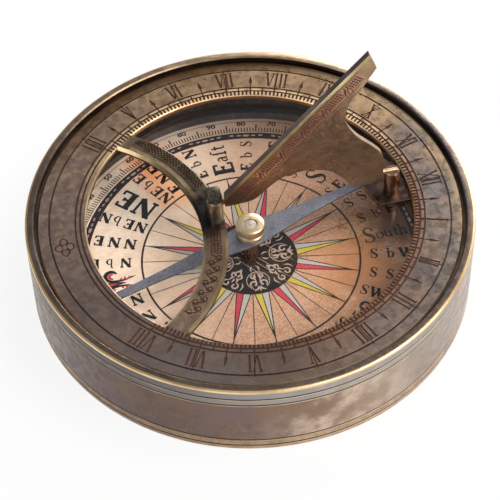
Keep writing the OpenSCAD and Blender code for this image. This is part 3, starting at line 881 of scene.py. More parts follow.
def paper_material():
    """Pink-brown paper with a fine tooth, browner and darker towards XII, partly its tone and
    partly a painted shadow of the ring, with orange stains at the bow and near the right. A
    stain fades outwards, or has a darker edge where the water stopped."""
    paint = Paint("Card paper", 75, 2400, 8.0)
    # Light to the left, browner and darker towards XII: partly tone, partly a painted shadow of
    # the ring.
    side = paint.facing(-22, -32, 6)
    paint.base = paint.mix(side, paint.patchy((1.0, 0.765, 0.585), (1.0, 0.86, 0.70)),
                           paint.patchy((0.33, 0.16, 0.08), (0.44, 0.23, 0.13)))
    paint.over(paint.times(paint.pattern("Mottle"), paint.ramp(side, 0, 1, 0.3, 0.45)),
               (0.46, 0.25, 0.18))
    paint.over(paint.ramp(paint.pattern("Grain"), 0.2, 0.9, 0.0, 0.3), (0.74, 0.52, 0.37))
    for centre, radius, colour, share, tide in (
            ((-14.5, 30), 9, (0.78, 0.30, 0.12), 0.95, 0.0),
            ((-11.5, 23), 7, (0.82, 0.38, 0.18), 0.8, 0.0),
            ((20, -8), 12, (0.42, 0.16, 0.05), 0.7, 0.5),
            ((33, 3.5), 10.5, (0.10, 0.04, 0.02), 0.9, 0.8),
            ((24, -21), 8, (0.36, 0.14, 0.05), 0.7, 0.6)):
        far = paint.math("SUBTRACT", paint.from_axis(*centre), 0.003)
        far = paint.ragged(paint.ragged(far, "Mottle", 3), "Patches", 3)
        paint.over(paint.ramp_mm(far, radius * 0.35, radius, share, 0.0), colour)
        edge = paint.times(paint.ramp_mm(far, radius - 0.5, radius - 0.1, 0.0, tide),
                           paint.ramp_mm(far, radius - 0.1, radius + 0.2, 1.0, 0.0))
        paint.over(edge, colour)
    paint.grain_hills(0.25)
    return paint.finish(0.0, 0.85, 0.25)


def ink_material(name, colour, pale):
    """Printing ink that wears a little thin over the paper."""
    paint = Paint(name, 140, 3200, 9.0)
    worn = paint.ramp(paint.pattern("Grain"), 0.35, 1.0, 0.0, 0.35)
    paint.base = paint.mix(worn, colour, pale)
    return paint.finish(0.0, 0.8, 0.15)


def glass_material():
    """Clear glass that lets light straight through to the card."""
    paint = Paint("Window glass")
    paint.base = (0.97, 0.985, 0.98, 1)
    for name, value in (("IOR", 1.5), ("Transmission Weight", 1.0),
                        ("Specular Tint", (0.6, 0.6, 0.6, 1))):
        give(paint.tree, paint.shader.inputs[name], value)
    clear = node_in(paint.tree, "ShaderNodeBsdfTransparent", {0: (0.95, 0.95, 0.95, 1)})[0]
    rays = node_in(paint.tree, "ShaderNodeLightPath")
    paint.show_both(rays["Is Shadow Ray"], paint.shader.outputs[0], clear)
    return paint.finish(0.0, 0.02)


def jewel_material():
    """The jewel's cloudy stone."""
    paint = Paint("Jewel", 700, shift=10.0)
    cloud = paint.patchy((0.16, 0.125, 0.10), (0.62, 0.57, 0.50))
    paint.base = paint.mottled(cloud, (0.24, 0.17, 0.13))
    return paint.finish(0.0, 0.22, 0.4)


def plain_material(name, colour, rough, metallic=0.0):
    """One colour, mottled with a darker one."""
    paint = Paint(name, 200, shift=11.0)
    paint.base = paint.mottled(colour, [c * 0.8 for c in colour])
    return paint.finish(metallic, rough)


FILL = fill_material()
GROOVE = plain_material("Groove dirt", (0.09, 0.06, 0.042), 0.5, 0.6)
LINING = lining_material()
NEEDLE_STEEL = needle_material()
PAPER = paper_material()
GLASS = glass_material()
JEWEL = jewel_material()
PIN_STEEL = plain_material("Pin steel", (0.5, 0.5, 0.52), 0.3, 1.0)
BOARD = plain_material("Board", (0.45, 0.33, 0.24), 0.9)
BLACK_INK = ink_material("Black ink", (0.005, 0.004, 0.004), (0.03, 0.018, 0.014))
LINE_INK = ink_material("Brown line ink", (0.016, 0.008, 0.007), (0.07, 0.035, 0.024))
RED_INK = ink_material("Red ink", (0.46, 0.035, 0.06), (0.46, 0.11, 0.11))
YELLOW_INK = ink_material("Yellow ink", (0.47, 0.37, 0.045), (0.47, 0.31, 0.10))
GREY_INK = ink_material("Grey ink", (0.38, 0.35, 0.33), (0.44, 0.33, 0.28))
WHITE_INK = ink_material("White ink", (0.44, 0.32, 0.265), (0.27, 0.165, 0.13))
OVAL_INK = ink_material("Band oval ink", (0.42, 0.29, 0.26), (0.30, 0.18, 0.15))


# The case wall, turned

def case_wall():
    """The band with its four cut lines."""
    in_bevel, out_bevel, groove_w, groove_deep, shoulder = 0.25, 0.5, 0.3, 0.25, 0.16
    edge, corner = groove_w / 2, out_bevel * 0.3
    profile = [(WALL_IN_R, 0), (CASE_R - out_bevel, 0), (CASE_R - corner, corner),
               (CASE_R, out_bevel)]
    for height in BAND_LINES:
        half = [(CASE_R, edge + shoulder), (CASE_R - shoulder / 2, edge),
                (CASE_R - groove_deep, edge / 2)]
        profile += [(radius, height - reach) for radius, reach in half]
        profile += [(radius, height + reach) for radius, reach in reversed(half)]
    profile += [(CASE_R, CASE_H - out_bevel), (CASE_R - corner, CASE_H - corner),
                (CASE_R - out_bevel, CASE_H), (WALL_IN_R + in_bevel, CASE_H),
                (WALL_IN_R, CASE_H - in_bevel)]
    data = turned("case wall", profile, CASE_BRASS, facets=360)
    for material in (WORN_BRASS, GROOVE, RIM_BRASS, EDGE_BRASS, GROOVE_EDGE_BRASS):
        data.materials.append(material)
    worn, groove, rim, inner_wall, groove_edge = range(1, 6)
    for polygon in data.polygons:
        radius, height = polygon.center.xy.length / MM, polygon.center.z / MM
        slope = polygon.normal.z
        # The inner wall: dark brass as painted shade.
        if radius < WALL_IN_R + 0.02:
            polygon.material_index = inner_wall
        elif abs(slope) > 0.97 or (slope > 0.3 and radius < WALL_IN_R + in_bevel):
            polygon.material_index = rim
        elif height > CASE_H - out_bevel or height < out_bevel:
            polygon.material_index = worn
        elif 0.3 < slope < 0.6:
            polygon.material_index = groove_edge
        elif radius < CASE_R - shoulder / 2 - 0.01:
            polygon.material_index = groove
    piece("case_band", data, "case", ("case_wall",), smooth=24)


# The hour ring: its numerals, hour lines and bow ornament are cut into a copy of the node

class Graver:
    """Cuts for one flat face: each kind is a mesh of its own, so that cuts that cross
    are never in the same one."""

    def __init__(self, low, high):
        self.low, self.high = low, high
        self.kinds = {}

    def cut(self, kind, line):
        self.kinds.setdefault(kind, Shapes()).stroke(line, self.low, self.high, CUT_FOOT)

    def pit(self, outline):
        self.kinds.setdefault("pits", Shapes()).plate(outline, self.low, self.high)

    def meshes(self):
        return [shapes.mesh("cuts " + kind) for kind, shapes in self.kinds.items()]


def hour_marks(graver):
    """Hour lines through the numerals, and arrows at the half hours."""
    edge_r = RING_IN_R - 0.2
    arrow = [(edge_r, 0.3), (36.1, 0.3), (36.5, 0.92), (37.1, 0.7), (37.8, 0.34),
             (ARROW_TIP_R, 0.08)]
    for i, numeral in enumerate(HOURS):
        angle = FIRST_HOUR_ANGLE - HOUR_STEP * i
        for kind, line in roman_strokes(numeral):
            graver.cut(kind, placed(line, polar(NUMERAL_FOOT_R, angle), polar(1, angle - 90),
                                    polar(1, angle)))
        graver.cut("lines", [(*polar(radius, angle), 0.24)
                             for radius in (edge_r, OUTER_CIRCLE_R + 0.4)])
        if i < len(HOURS) - 1:
            graver.cut("lines", [(*polar(radius, angle - HOUR_STEP / 2), width)
                                 for radius, width in arrow])


def knot(graver):
    """A four-looped knot: each loop is a petal round the same small ring."""
    petal = smooth([(0.1, 0.5, 0.24), (1.0, 0.95, 0.3), (1.95, 0.6, 0.3), (2.25, 0.0, 0.3),
                    (1.95, -0.6, 0.3), (1.0, -0.95, 0.3), (0.1, -0.5, 0.24)])
    for turn in (0, 90, 180, 270):
        cos, sin = polar(1, turn)
        graver.cut("fine" if turn % 180 else "strong",
                   [(KNOT_X + (x * cos - y * sin) * 0.82, x * sin + y * cos, width)
                    for x, y, width in petal])


def on_bow(line):
    """A line of angles, offsets from the bow's middle and breadths, as points."""
    return [(*polar(BOW_R + offset, angle, (BOW_CENTRE_X, 0)), width)
            for angle, offset, width in line]


def bow_pit(graver, corners, angle, offset):
    """A pit in the bow, from its corners' places round an angle and an offset."""
    outline = on_bow([(angle + a, offset + o, 0) for a, o in corners])
    graver.pit([(x, y) for x, y, _ in outline])


def bow_diamonds(graver):
    """Diamond pits between light lines on the rear arm, narrowing towards its foot."""
    long, wide, middle = 1.5, 0.8, 0.75
    half_a, half_o = long * 0.38, wide * 0.38
    for i in range(45):
        angle = 17.0 + i * long / 2
        reach = 1.3 if angle < 40 else max(0.0, 1.3 - (angle - 40) * 0.1)
        if 29.4 < angle < 30.2:
            continue
        for offset in (-wide, 0, wide) if i % 2 else (-wide / 2, wide / 2):
            if abs(offset) <= reach:
                bow_pit(graver, ((-half_a, 0), (0, half_o), (half_a, 0), (0, -half_o)),
                        angle, middle + offset)
    for side in (-1, 1):
        rail = smooth([(angle, middle + side * reach, 0.14) for angle, reach in
                       ((16.4, 1.35), (24, 1.4), (32, 1.4), (40, 1.35), (46, 0.8), (50.5, 0.2))])
        graver.cut("rail" + str(side), on_bow(rail))


def bow_squares(graver):
    """Square pits in blocks on the front arm, a cross between them and a leafy stem."""
    for first, rows in ((-3.6, 8), (-12.9, 4)):
        for i in range(rows):
            for offset in (-0.9, -0.3, 0.3, 0.9):
                bow_pit(graver, ((-0.3, -0.19), (0.3, -0.19), (0.3, 0.19), (-0.3, 0.19)),
                        first - i * 0.95, offset)
    for kind, side in (("counter", -1), ("lattice", 1)):
        graver.cut(kind, on_bow([(-11.3, -0.8 * side, 0.3), (-12.3, 0.8 * side, 0.3)]))
    stem = [(-16.8 - 2.4 * i, 0.95 if i % 2 else -0.95, 0.28) for i in range(13)]
    graver.cut("lattice", on_bow(smooth(stem, 5)))
    for i in range(12):
        side = -1 if i % 2 else 1
        middle = -18.0 - 2.4 * i
        spiral = []
        for turn, reach in ((250, 0.95), (190, 0.95), (130, 0.9), (70, 0.85), (10, 0.7),
                            (-50, 0.5), (-110, 0.3)):
            x, y = polar(reach, turn)
            spiral.append((middle + 1.25 * x, side * (0.55 + 0.7 * y), 0.3 * reach + 0.06))
        graver.cut("leaves", on_bow(smooth(spiral, 3)))
        graver.cut("buds", on_bow([(middle - 1.2, 1.35 * side, 0.36),
                                   (middle - 0.8, 1.35 * side, 0.36)]))


def dial_cuts():
    """The dial's numerals, hour lines, arrows, knot and bow ornament as solids to cut."""
    graver = Graver(RING_TOP - CUT_DEEP, RING_TOP + CUT_RISE)
    hour_marks(graver)
    knot(graver)
    bow_diamonds(graver)
    bow_squares(graver)
    graver.cut("fine", [(x, y, 0.16) for x, y in arc((BOW_POST_X + 0.05, 7.0), 0.42, 0, 330, 16)])
    return graver.meshes()


def dial_ticks():
    """The three circles, and five-minute and quarter-hour ticks repeated round the axis."""
    low, high = RING_TOP - CUT_DEEP, RING_TOP + CUT_RISE
    circles = Shapes()
    for radius in DIAL_CIRCLES:
        circles.washer(radius - CIRCLE_W / 2, radius + CIRCLE_W / 2, low, high)
    cuts = [circles.mesh("circles")]
    for name, in_r, out_r, width, foot, each_hour in (
            ("five-minute ticks", RING_IN_R - 0.2, BAND_IN_R, 0.46, 0.7, 12),
            ("quarter-hour ticks", BAND_IN_R, BAND_OUT_R, 0.36, 0.6, 4)):
        tick = Shapes()
        tick.stroke([(in_r, 0, width), (out_r, 0, width)], low, high, foot)
        cuts.append(repeated(name, tick, (len(HOURS) - 1) * each_hour + 1, -FIRST_HOUR_ANGLE,
                             HOUR_STEP / each_hour, FILL))
    return cuts


def hour_ring():
    data = copy_of_node("chapter_ring", [DIAL_BRASS])
    data = engraved(data, dial_cuts() + dial_ticks(), FILL)
    first = len(data.materials)
    for material in (OPENING_BRASS, BOW_EDGE_BRASS, EDGE_BRASS, WALL_BRASS, RING_EDGE_BRASS):
        data.materials.append(material)
    wear_dial_edges(data, first)
    piece("hour_ring", data, "case", ("chapter_ring",), smooth=28)


def wear_dial_edges(data, first):
    """Sorts the ring's sloping and upright faces, and the circles' floors: worn opening edge brass
    on the opening's chamfer, with its painted highlight at the back, bow edge brass on the
    bow's slopes, dark brass as painted shade on upright and hidden sides, warm brass on the
    opening's wall and dull brass on the outer chamfer. first is the place of the opening edge
    brass among the materials."""
    worn, bow_edge, dark, wall, rim = range(first, first + 5)
    fill_index = data.materials.find(FILL.name)
    for polygon in data.polygons:
        if polygon.material_index == fill_index:
            continue
        centre = polygon.center / MM
        slope = polygon.normal.z
        radius = centre.xy.length
        from_line = min(abs(radius - line_r) for line_r in DIAL_CIRCLES)
        if from_line < CIRCLE_W and RING_TOP - CUT_DEEP - 0.05 < centre.z < RING_TOP - 0.05:
            polygon.material_index = fill_index
        elif abs(slope) < 0.2 and abs(radius - RING_IN_R) < 0.1:
            polygon.material_index = wall
        # Upright and lower faces: dark brass as painted shade.
        elif slope < 0.2 or (slope > 0.9 and centre.z < RING_TOP - 0.3):
            polygon.material_index = dark
        elif 0.3 < slope < 0.9:
            if radius < RING_IN_R - 0.02:
                polygon.material_index = bow_edge
            elif radius < BAND_IN_R:
                polygon.material_index = worn
            elif radius > FACE_OUT_R - 0.05:
                polygon.material_index = rim


def bow_post():
    """The bow post, with worn brass on the bevels round the front of its top, bright there as a
    painted highlight.
    """
    data = copy_of_node("bow_post", [BOW_POST_BRASS, WORN_BRASS], FLAT_ANGLE)
    data = bevelled(data, 0.16, 60, segments=2)
    for polygon in data.polygons:
        centre = polygon.center / MM
        # Worn brass stays only on the front top bevels, as a painted highlight.
        if polygon.material_index == 1 and (centre.z < POST_TOP - 0.4 or centre.y > 0.3):
            polygon.material_index = 0
    piece("bow_post_block", data, "case", ("bow_post",), smooth=30)


def noon_bracket():
    data = copy_of_node("noon_bracket", [BRACKET_BRASS, BRACKET_EDGE_BRASS], FLAT_ANGLE)
    data = bevelled(data, 0.14, 60, segments=2)
    piece("noon_bracket_plate", data, "case", ("noon_bracket",), smooth=30)


# The gnomon: bevelled edges, and an engraved vine band along the style

def style_point(along, inwards):
    """Point of the plate from distances along the style edge and inwards from it."""
    cos, sin = polar(1, STYLE_ANGLE)
    return (BOW_POST_X + STYLE_START.x + along * cos + inwards * sin,
            HINGE_Z + STYLE_START.y + along * sin - inwards * cos)


def vine_cuts():
    """The vine band's lines, leaves and dots as solids to cut, drawn along the style edge
    and cut into both faces."""
    graver = Graver(-0.12, 0.05)

    def cut(kind, line):
        graver.cut(kind, [(*style_point(along, inwards), width) for along, inwards, width in line])

    for offset in (0.0, 0.42):
        cut("border", smooth([(1.8, 1.6 + offset, 0.1), (2.6, 3.0 + offset, 0.18),
                              (5.0, 3.8 + offset, 0.18), (16, 4.0 + offset, 0.18),
                              (28, 4.0 + offset, 0.18), (34, 3.7 + offset, 0.14),
                              (37.5, 2.8 + offset, 0.08)]))
    cut("edge line", [(2.2, 1.05, 0.14), (38.5, 1.05, 0.14)])
    for i in range(6):
        start = 2.9 + 6.3 * i
        columns = 7 if i < 5 else 5
        for row in range(4):
            inwards = 1.45 + 0.56 * row
            cut("rows", [(start, inwards, 0.17), (start + 0.6 * columns, inwards, 0.17)])
        for column in range(columns + 1):
            along = start + 0.6 * column
            cut("columns", [(along, 1.45, 0.3), (along + 0.15, 3.13, 0.3)])
        if i < 5:
            for shift, wide in ((0.0, 0.5), (0.75, 0.32)):
                low = start + 4.5 + shift
                cut("leaf", smooth([(low, 3.75, 0.1), (low + 0.3, 2.9, wide),
                                    (low + 1.0, 2.1, wide), (low + 1.3, 1.35, 0.1)]))
            cut("bud", [(start + 4.6, 1.5, 0.3), (start + 4.9, 1.7, 0.3)])
            cut("bud", [(start + 6.1, 3.5, 0.3), (start + 6.4, 3.3, 0.3)])

    cuts = []
    for kind, shapes in graver.kinds.items():
        both = Shapes()
        for side in (-1, 1):
            both.add(shapes.moved(lambda p, s=side: (p[0], s * (PLATE_HALF + p[2]), p[1])))
        cuts.append(both.mesh("vine " + kind))
    return cuts


def gnomon_plate():
    """The gnomon, with bevelled edges, a duller style edge and the vine cut into its faces."""
    style = 2
    data = copy_of_node("gnomon", [gnomon_brass(), WORN_BRASS, STYLE_BRASS], FLAT_ANGLE)
    for polygon in data.polygons:
        if abs(polygon.normal.y) < 0.5 and polygon.normal.z > 0.5 and polygon.normal.x < 0:
            polygon.material_index = style
    data = bevelled(data, 0.3, 50)
    data = engraved(data, vine_cuts(), COPPER_FILL)
    piece("gnomon_plate", data, "gnomon", ("gnomon",), smooth=24)


def gnomon_brass():
    """Gnomon brass: speckled brown, with a painted highlight along the style for a wide bevel,
    coppery in the vine band.
    """
    paint = brass("Gnomon face brass", (1.0, 0.72, 0.46), (0.47, 0.30, 0.185),
                  (0.82, 0.56, 0.37), (0.28, 0.44), 330, 2.1, speckle=0.85)
    x, _, z = paint.place()
    start_x, start_z = style_point(0, 0)
    cos, sin = polar(1, STYLE_ANGLE)
    from_x = paint.math("SUBTRACT", x, start_x * MM)
    from_z = paint.math("SUBTRACT", z, start_z * MM)
    inwards = paint.math("SUBTRACT", paint.times(from_x, sin), paint.times(from_z, cos))
    along = paint.math("ADD", paint.times(from_x, cos), paint.times(from_z, sin))

    def up(value, low, high, share=1.0):
        return paint.ramp_mm(value, low, high, 0.0, share)

    def down(value, low, high, share=1.0):
        return paint.ramp_mm(value, low, high, share, 0.0)

    foot = paint.times(down(z, HINGE_Z + 1, HINGE_Z + 10, 0.85), down(x, 8, 18))
    paint.over(foot, (0.21, 0.125, 0.085))
    paint.over(up(x, 21, 27, 0.25), (0.80, 0.58, 0.33))
    band = paint.times(down(inwards, 3.6, 4.0), up(inwards, 1.1, 1.3), down(along, 38, 40),
                       up(along, 3.5, 9, 0.85))
    paint.over(band, paint.mottled((0.95, 0.66, 0.44), (0.62, 0.35, 0.21)))
    # Painted highlight along the style edge and at its tip, with a gold line at the band's border.
    edge = paint.math("MAXIMUM", down(inwards, 0.7, 0.85), up(along, 38.5, 40.5, 0.1))
    border = paint.times(up(inwards, 4.05, 4.12), down(inwards, 4.32, 4.4, 0.5))
    paint.over(paint.math("MAXIMUM", edge, border), (1.0, 0.82, 0.48))
    paint.over(up(along, 34, 40, 0.75), (0.36, 0.235, 0.13))
    paint.over(down(along, 1.5, 8, 0.85), (0.10, 0.07, 0.055))
    return paint.finish()


def copper_fill_material():
    """Copper-red dirt in the vine band's cuts."""
    paint = Paint("Vine fill", 300, shift=12.0)
    paint.base = paint.mottled((0.11, 0.028, 0.02), (0.24, 0.075, 0.045))
    return paint.finish(0.3, 0.5)


COPPER_FILL = copper_fill_material()
STYLE_BRASS = polished("Style edge brass", (0.24, 0.18, 0.15), (0.12, 0.085, 0.08), 0.36, 2.6)


# The needle's cap and jewel, turned

def needle_cap():
    height = CAP_TOP - NEEDLE_TOP
    hub_r, bore_r = CAP_R * 0.72, JEWEL_R + 0.03
    foot, waist = CAP_R * 0.93, CAP_R * 0.82

    def at(share):
        return NEEDLE_TOP + height * share

    shoulder = [(CAP_R * 0.97, at(0.5)), (CAP_R, at(0.56)), (CAP_R, at(0.88)),
                (CAP_R * 0.96, at(0.96)), (CAP_R * 0.88, CAP_TOP)]
    profile = [(bore_r, HUB_UNDER), (hub_r, HUB_UNDER), (hub_r, NEEDLE_TOP), (foot, NEEDLE_TOP),
               (foot, at(0.2)), (foot * 0.98, at(0.25)), (waist, at(0.32)), (waist, at(0.42)),
               *shoulder, (bore_r + 0.15, CAP_TOP), (bore_r, CAP_TOP - 0.15)]
    data = turned("cap", profile, CAP_BRASS, facets=96)
    piece("cap_of_needle", data, "needle", ("needle_cap",), smooth=30)


def needle_jewel():
    low, high = (corner.z for corner in box_mm("needle_jewel"))
    cup_r, cup_deep = 0.78, 0.6
    profile = [(0.01, low + cup_deep), (cup_r, low), (JEWEL_R, low), (JEWEL_R, high - 0.35),
               (JEWEL_R * 0.8, high - 0.12), (JEWEL_R * 0.45, high - 0.02), (0.01, high)]
    data = turned("jewel", profile, JEWEL, facets=64)
    piece("jewel_of_cap", data, "needle", ("needle_jewel",), smooth=50)


# The card's printing, one piece for each ink

class Ink(Shapes):
    """Flat printing on the card, in one of its layers. Marks lie a hair apart in height, in
    turn, so that two that cross aren't level."""

    def __init__(self, layer):
        super().__init__()
        self.low = CARD_TOP + INK_LAYERS[layer]
        self.marks = 0

    def heights(self):
        self.marks += 1
        lift = self.low + self.marks % INK_STEPS * INK_STEP
        return lift, lift + INK_THICK

    def mark(self, outline):
        self.plate(outline, *self.heights())

    def line(self, points):
        self.stroke(points, *self.heights())

    def circle(self, radius, width, steps=180):
        self.washer(radius - width / 2, radius + width / 2, *self.heights(), steps)


def print_piece(name, data, ink=None):
    piece(name, data, "case", material=ink)


def print_star():
    """Sixteen points, half coloured and half grey, and sixteen thin lines between them."""
    base_r, half_base = DISC_R - 0.4, 1.5
    tip = (STAR_TIP_R, 0)
    coloured, pale, edges, between = map(Ink, ("ground", "ground", "lines", "lines"))
    coloured.mark([(base_r, 0), (base_r, -half_base), tip])
    pale.mark([(base_r, half_base), (base_r, 0), tip])
    for side in (-1, 1):
        edges.line([(base_r, side * half_base, 0.2), (STAR_TIP_R - 2, side * 0.22, 0.22),
                    (*tip, 0.16)])
    edges.line([(base_r, 0, 0.16), (STAR_TIP_R - 1, 0, 0.26), (INNER_CIRCLE_R, 0, 0.2)])
    between.line([(base_r, 0, 0.2), (INNER_CIRCLE_R, 0, 0.14)])
    step = 360 / 16
    for piece_name, name, shapes, count, first, turn, ink in (
            ("print_yellow", "yellow points", coloured, 8, 0, 2 * step, YELLOW_INK),
            ("print_red", "red points", coloured, 8, step, 2 * step, RED_INK),
            ("print_grey", "grey halves", pale, 16, 0, step, GREY_INK),
            ("print_star_edges", "point edges", edges, 16, 0, step, LINE_INK),
            ("print_by_lines", "by-point lines", between, 16, step / 2, step, LINE_INK)):
        print_piece(piece_name, repeated(name, shapes, count, first, turn, ink))


def print_scale():
    """The white ovals of the black band, and the degree scale outside it."""
    start_r, short_r, long_r = DEGREE_TICK_R
    for piece_name, name, layer, end_r, width, count, first, step in (
            ("print_degrees", "degree ticks", "ground", short_r, 0.24, 360, 0, 1),
            ("print_fives", "five-degree ticks", "long ticks", long_r, 0.3, 36, 5, 10)):
        tick = Ink(layer)
        tick.line([(start_r, 0, width), (end_r, 0, width)])
        print_piece(piece_name, repeated(name, tick, count, first, step, BLACK_INK))
    ovals = Ink("ovals")
    mid_r = sum(BLACK_BAND) / 2
    for i in (-2, -1, 0, 1, 2):
        wide, high = (0.5, 0.2) if i else (0.72, 0.3)
        centre = mid_r * math.radians(i * 2.6)
        ovals.mark([(mid_r + high * y, centre + wide * x)
                    for x, y in arc((0, 0), 1, 0, 337.5, 15)])
    print_piece("print_ovals", repeated("band ovals", ovals, 24, 3.5, 15, OVAL_INK))


def print_black():
    """Circles, the black band and the centre disc."""
    black = Ink("ground")
    black.circle(INNER_CIRCLE_R, 0.42)
    black.circle(sum(BLACK_BAND) / 2, BLACK_BAND[1] - BLACK_BAND[0])
    black.circle(DEGREE_TICK_R[0], 0.1)
    black.circle(CARD_R - 1.6, 0.12)
    disc = Ink("disc")
    column_r = box_mm("pivot_column")[1].x
    disc.circle((DISC_R + column_r) / 2, DISC_R - column_r, steps=96)
    print_piece("print_circles", black.mesh("circles"), LINE_INK)
    print_piece("print_disc", disc.mesh("disc"), BLACK_INK)


def write_on_card(ink, word, angle, places, height, foot_shift=0.0):
    """Letters along a ray of the card, read outwards, with their tops anticlockwise."""
    for letter, place_r in zip(word, places):
        letter_w, strokes = LETTERS[letter]
        for line in strokes:
            centred = [(x - letter_w / 2, y - 0.5 + foot_shift, width) for x, y, width in line]
            ink.line(placed(centred, polar(place_r, angle), polar(1, angle),
                            polar(1, angle + 90), height))


def print_lettering():
    """The names of the 32 points but North, which has the lily."""
    ink = Ink("lines")
    small = 2.5
    places = {3: (25.4, 28.8, 32.1), 4: (24.6, 27.3, 30.1, 32.6)}
    names = ["NbE", "NNE", "NEbN", "NE", "NEbE", "ENE", "EbN", "E", "EbS", "ESE", "SEbE", "SE",
             "SEbS", "SSE", "SbE", "S", "SbW", "SSW", "SWbS", "SW", "SWbW", "WSW", "WbS", "W",
             "WbN", "WNW", "NWbW", "NW", "NWbN", "NNW", "NbW"]
    for i, name in enumerate(names):
        angle = 180 - 360 / POINT_COUNT * (i + 1)
        if name == "NbE":
            write_on_card(ink, name, angle, (25.8, 29.2, 32.2), small - 0.2)
        elif name == "ENE":
            write_on_card(ink, name, angle + 3.6, (25.4, 29.2, 32.6), small + 0.4)
        elif name in ("NE", "SE", "SW", "NW"):
            write_on_card(ink, name, angle, (26.4, 31.0), 4.5)
        elif len(name) in places:
            write_on_card(ink, name, angle, places[len(name)], small)
    for word, angle, word_places, height, foot_shift in (
            ("E", 90, (25.6,), 4.2, 0.0), ("aft", 90, (28.4, 30.2, 31.8), 3.4, 0.05),
            ("S", 0, (25.2,), 4.0, 0.0), ("outh", 0, (27.4, 29.2, 30.9, 32.4), 2.8, 0.0),
            ("W", -90, (25.6,), 4.0, 0.0), ("eft", -90, (28.4, 30.0, 31.6), 3.4, 0.05)):
        write_on_card(ink, word, angle, word_places, height, foot_shift)
    print_piece("print_letters", ink.mesh("letters"), BLACK_INK)


def print_numbers():
    """Degree numbers every ten degrees, 0 at North and South, 90 at East and West."""
    ink = Shapes()
    low = CARD_TOP + INK_LAYERS["ground"]
    for angle in range(0, 360, 10):
        curve = bpy.data.curves.new("number", "FONT")
        curve.body = str(abs((angle + 90) % 180 - 90))
        curve.size = NUMBER_H
        curve.offset = 0.05
        curve.align_x = curve.align_y = "CENTER"
        curve.resolution_u = 3
        writer = linked("number", curve)
        flat = baked(writer)
        discard(writer)
        spots = placed([(vertex.co.x * NUMBER_STRETCH, vertex.co.y + NUMBER_R, 0)
                        for vertex in flat.vertices], (0, 0), polar(1, angle - 90),
                       polar(1, angle))
        start, count = len(ink.points), len(spots)
        for z in (low, low + INK_THICK):
            ink.points += [(x, y, z) for x, y, _ in spots]
        sides = {}
        for polygon in flat.polygons:
            corners = list(polygon.vertices)
            ink.faces.append([start + i for i in reversed(corners)])
            ink.faces.append([start + count + i for i in corners])
            sides.update(dict.fromkeys(zip(corners, corners[1:] + corners[:1])))
        for a, b in sides:
            if (b, a) not in sides:
                ink.faces.append([start + a, start + b, start + count + b, start + count + a])
    print_piece("print_numbers", ink.mesh("numbers"), BLACK_INK)


def curl(ink, centre, size, start, sweep, thick):
    """A scroll that closes in from its outer end to a ball."""
    line = []
    for i in range(17):
        share = i / 16
        radius = size * (1 - 0.55 * share ** 1.3)
        x, y = polar(radius, start + sweep * share, centre)
        line.append((x, y, thick * (0.35 + 0.65 * math.sin(math.pi * share) ** 0.8)))
    ink.line(line)
    ink.mark(arc(line[-1][:2], thick * 0.62, 0, 330, 11))


def leaf(ink, start, end, bulge, side):
    """An almond leaf between two points, swelling to one side."""
    way = Vector((end[0] - start[0], end[1] - start[1]))
    over = Vector((-way.y, way.x)) * side
    middle = Vector(start) + way * 0.45 + over * 0.18
    ink.line(smooth([(*start, 0.06), (middle.x, middle.y, bulge), (*end, 0.05)], 5))


def print_scrolls():
    """Four leafy roundels and four pairs of curls on the black disc, and a painted reflection of
    the gnomon in the glass as light lines on the disc.
    """
    roundel = Ink("scrolls")
    ring = [(*polar(2.35, angle, (6.2, 0)), 0.2 - 0.08 * abs(angle - 190) / 150)
            for angle in range(40, 341, 12)]
    roundel.line(ring)
    for hand in (-1, 1):
        curl(roundel, (6.9, 0.95 * hand), 0.85, 30 * hand, 290 * hand, 0.42)
        curl(roundel, (5.0, 0.7 * hand), 0.6, 180, -280 * hand, 0.34)
        leaf(roundel, (4.1, 0.1 * hand), (6.6, 0.3 * hand), 0.42, hand)
        leaf(roundel, (7.5, 0.2 * hand), (8.7, 1.3 * hand), 0.4, -hand)
        leaf(roundel, (2.2, 0.35 * hand), (3.7, 0.8 * hand), 0.34, hand)
    roundel.mark([(7.6, 0), (8.1, -0.24), (9.1, 0), (8.1, 0.24)])
    print_piece("print_roundels", repeated("roundels", roundel, 4, 0, 90, WHITE_INK))
    pair = Ink("scrolls")
    for hand in (-1, 1):
        curl(pair, (8.05, 0.95 * hand), 0.82, -170 * hand, -310 * hand, 0.36)
        curl(pair, (5.5, 0.62 * hand), 0.6, 0, 270 * hand, 0.38)
        leaf(pair, (3.6, 0.1 * hand), (5.0, 0.95 * hand), 0.4, -hand)
        leaf(pair, (6.0, 0.2 * hand), (7.2, 0.8 * hand), 0.38, hand)
        leaf(pair, (6.6, 1.9 * hand), (8.6, 2.5 * hand), 0.3, hand)
    pair.mark([(6.3, 0), (6.9, -0.22), (7.6, 0), (6.9, 0.22)])
    print_piece("print_curls", repeated("curls", pair, 4, 45, 90, WHITE_INK))
    # Painted reflection of the gnomon in the glass: four light lines across the disc.
    glass_reflection_lines = Ink("glass_reflection_lines")
    for start, end in (((-2.1, 2.4), (6.2, -8.3)), ((-1.2, 3.0), (6.9, -7.2)),
                       ((3.2, 3.3), (8.4, -2.6)), ((-3.0, 0.6), (2.4, -6.8))):
        glass_reflection_lines.line([(*start, 0.05), (*[(a + b) / 2 for a, b in zip(start, end)], 0.13),
                        (*end, 0.04)])
    print_piece("card_glass_reflections", glass_reflection_lines.mesh("glass_reflection_lines"), OVAL_INK)


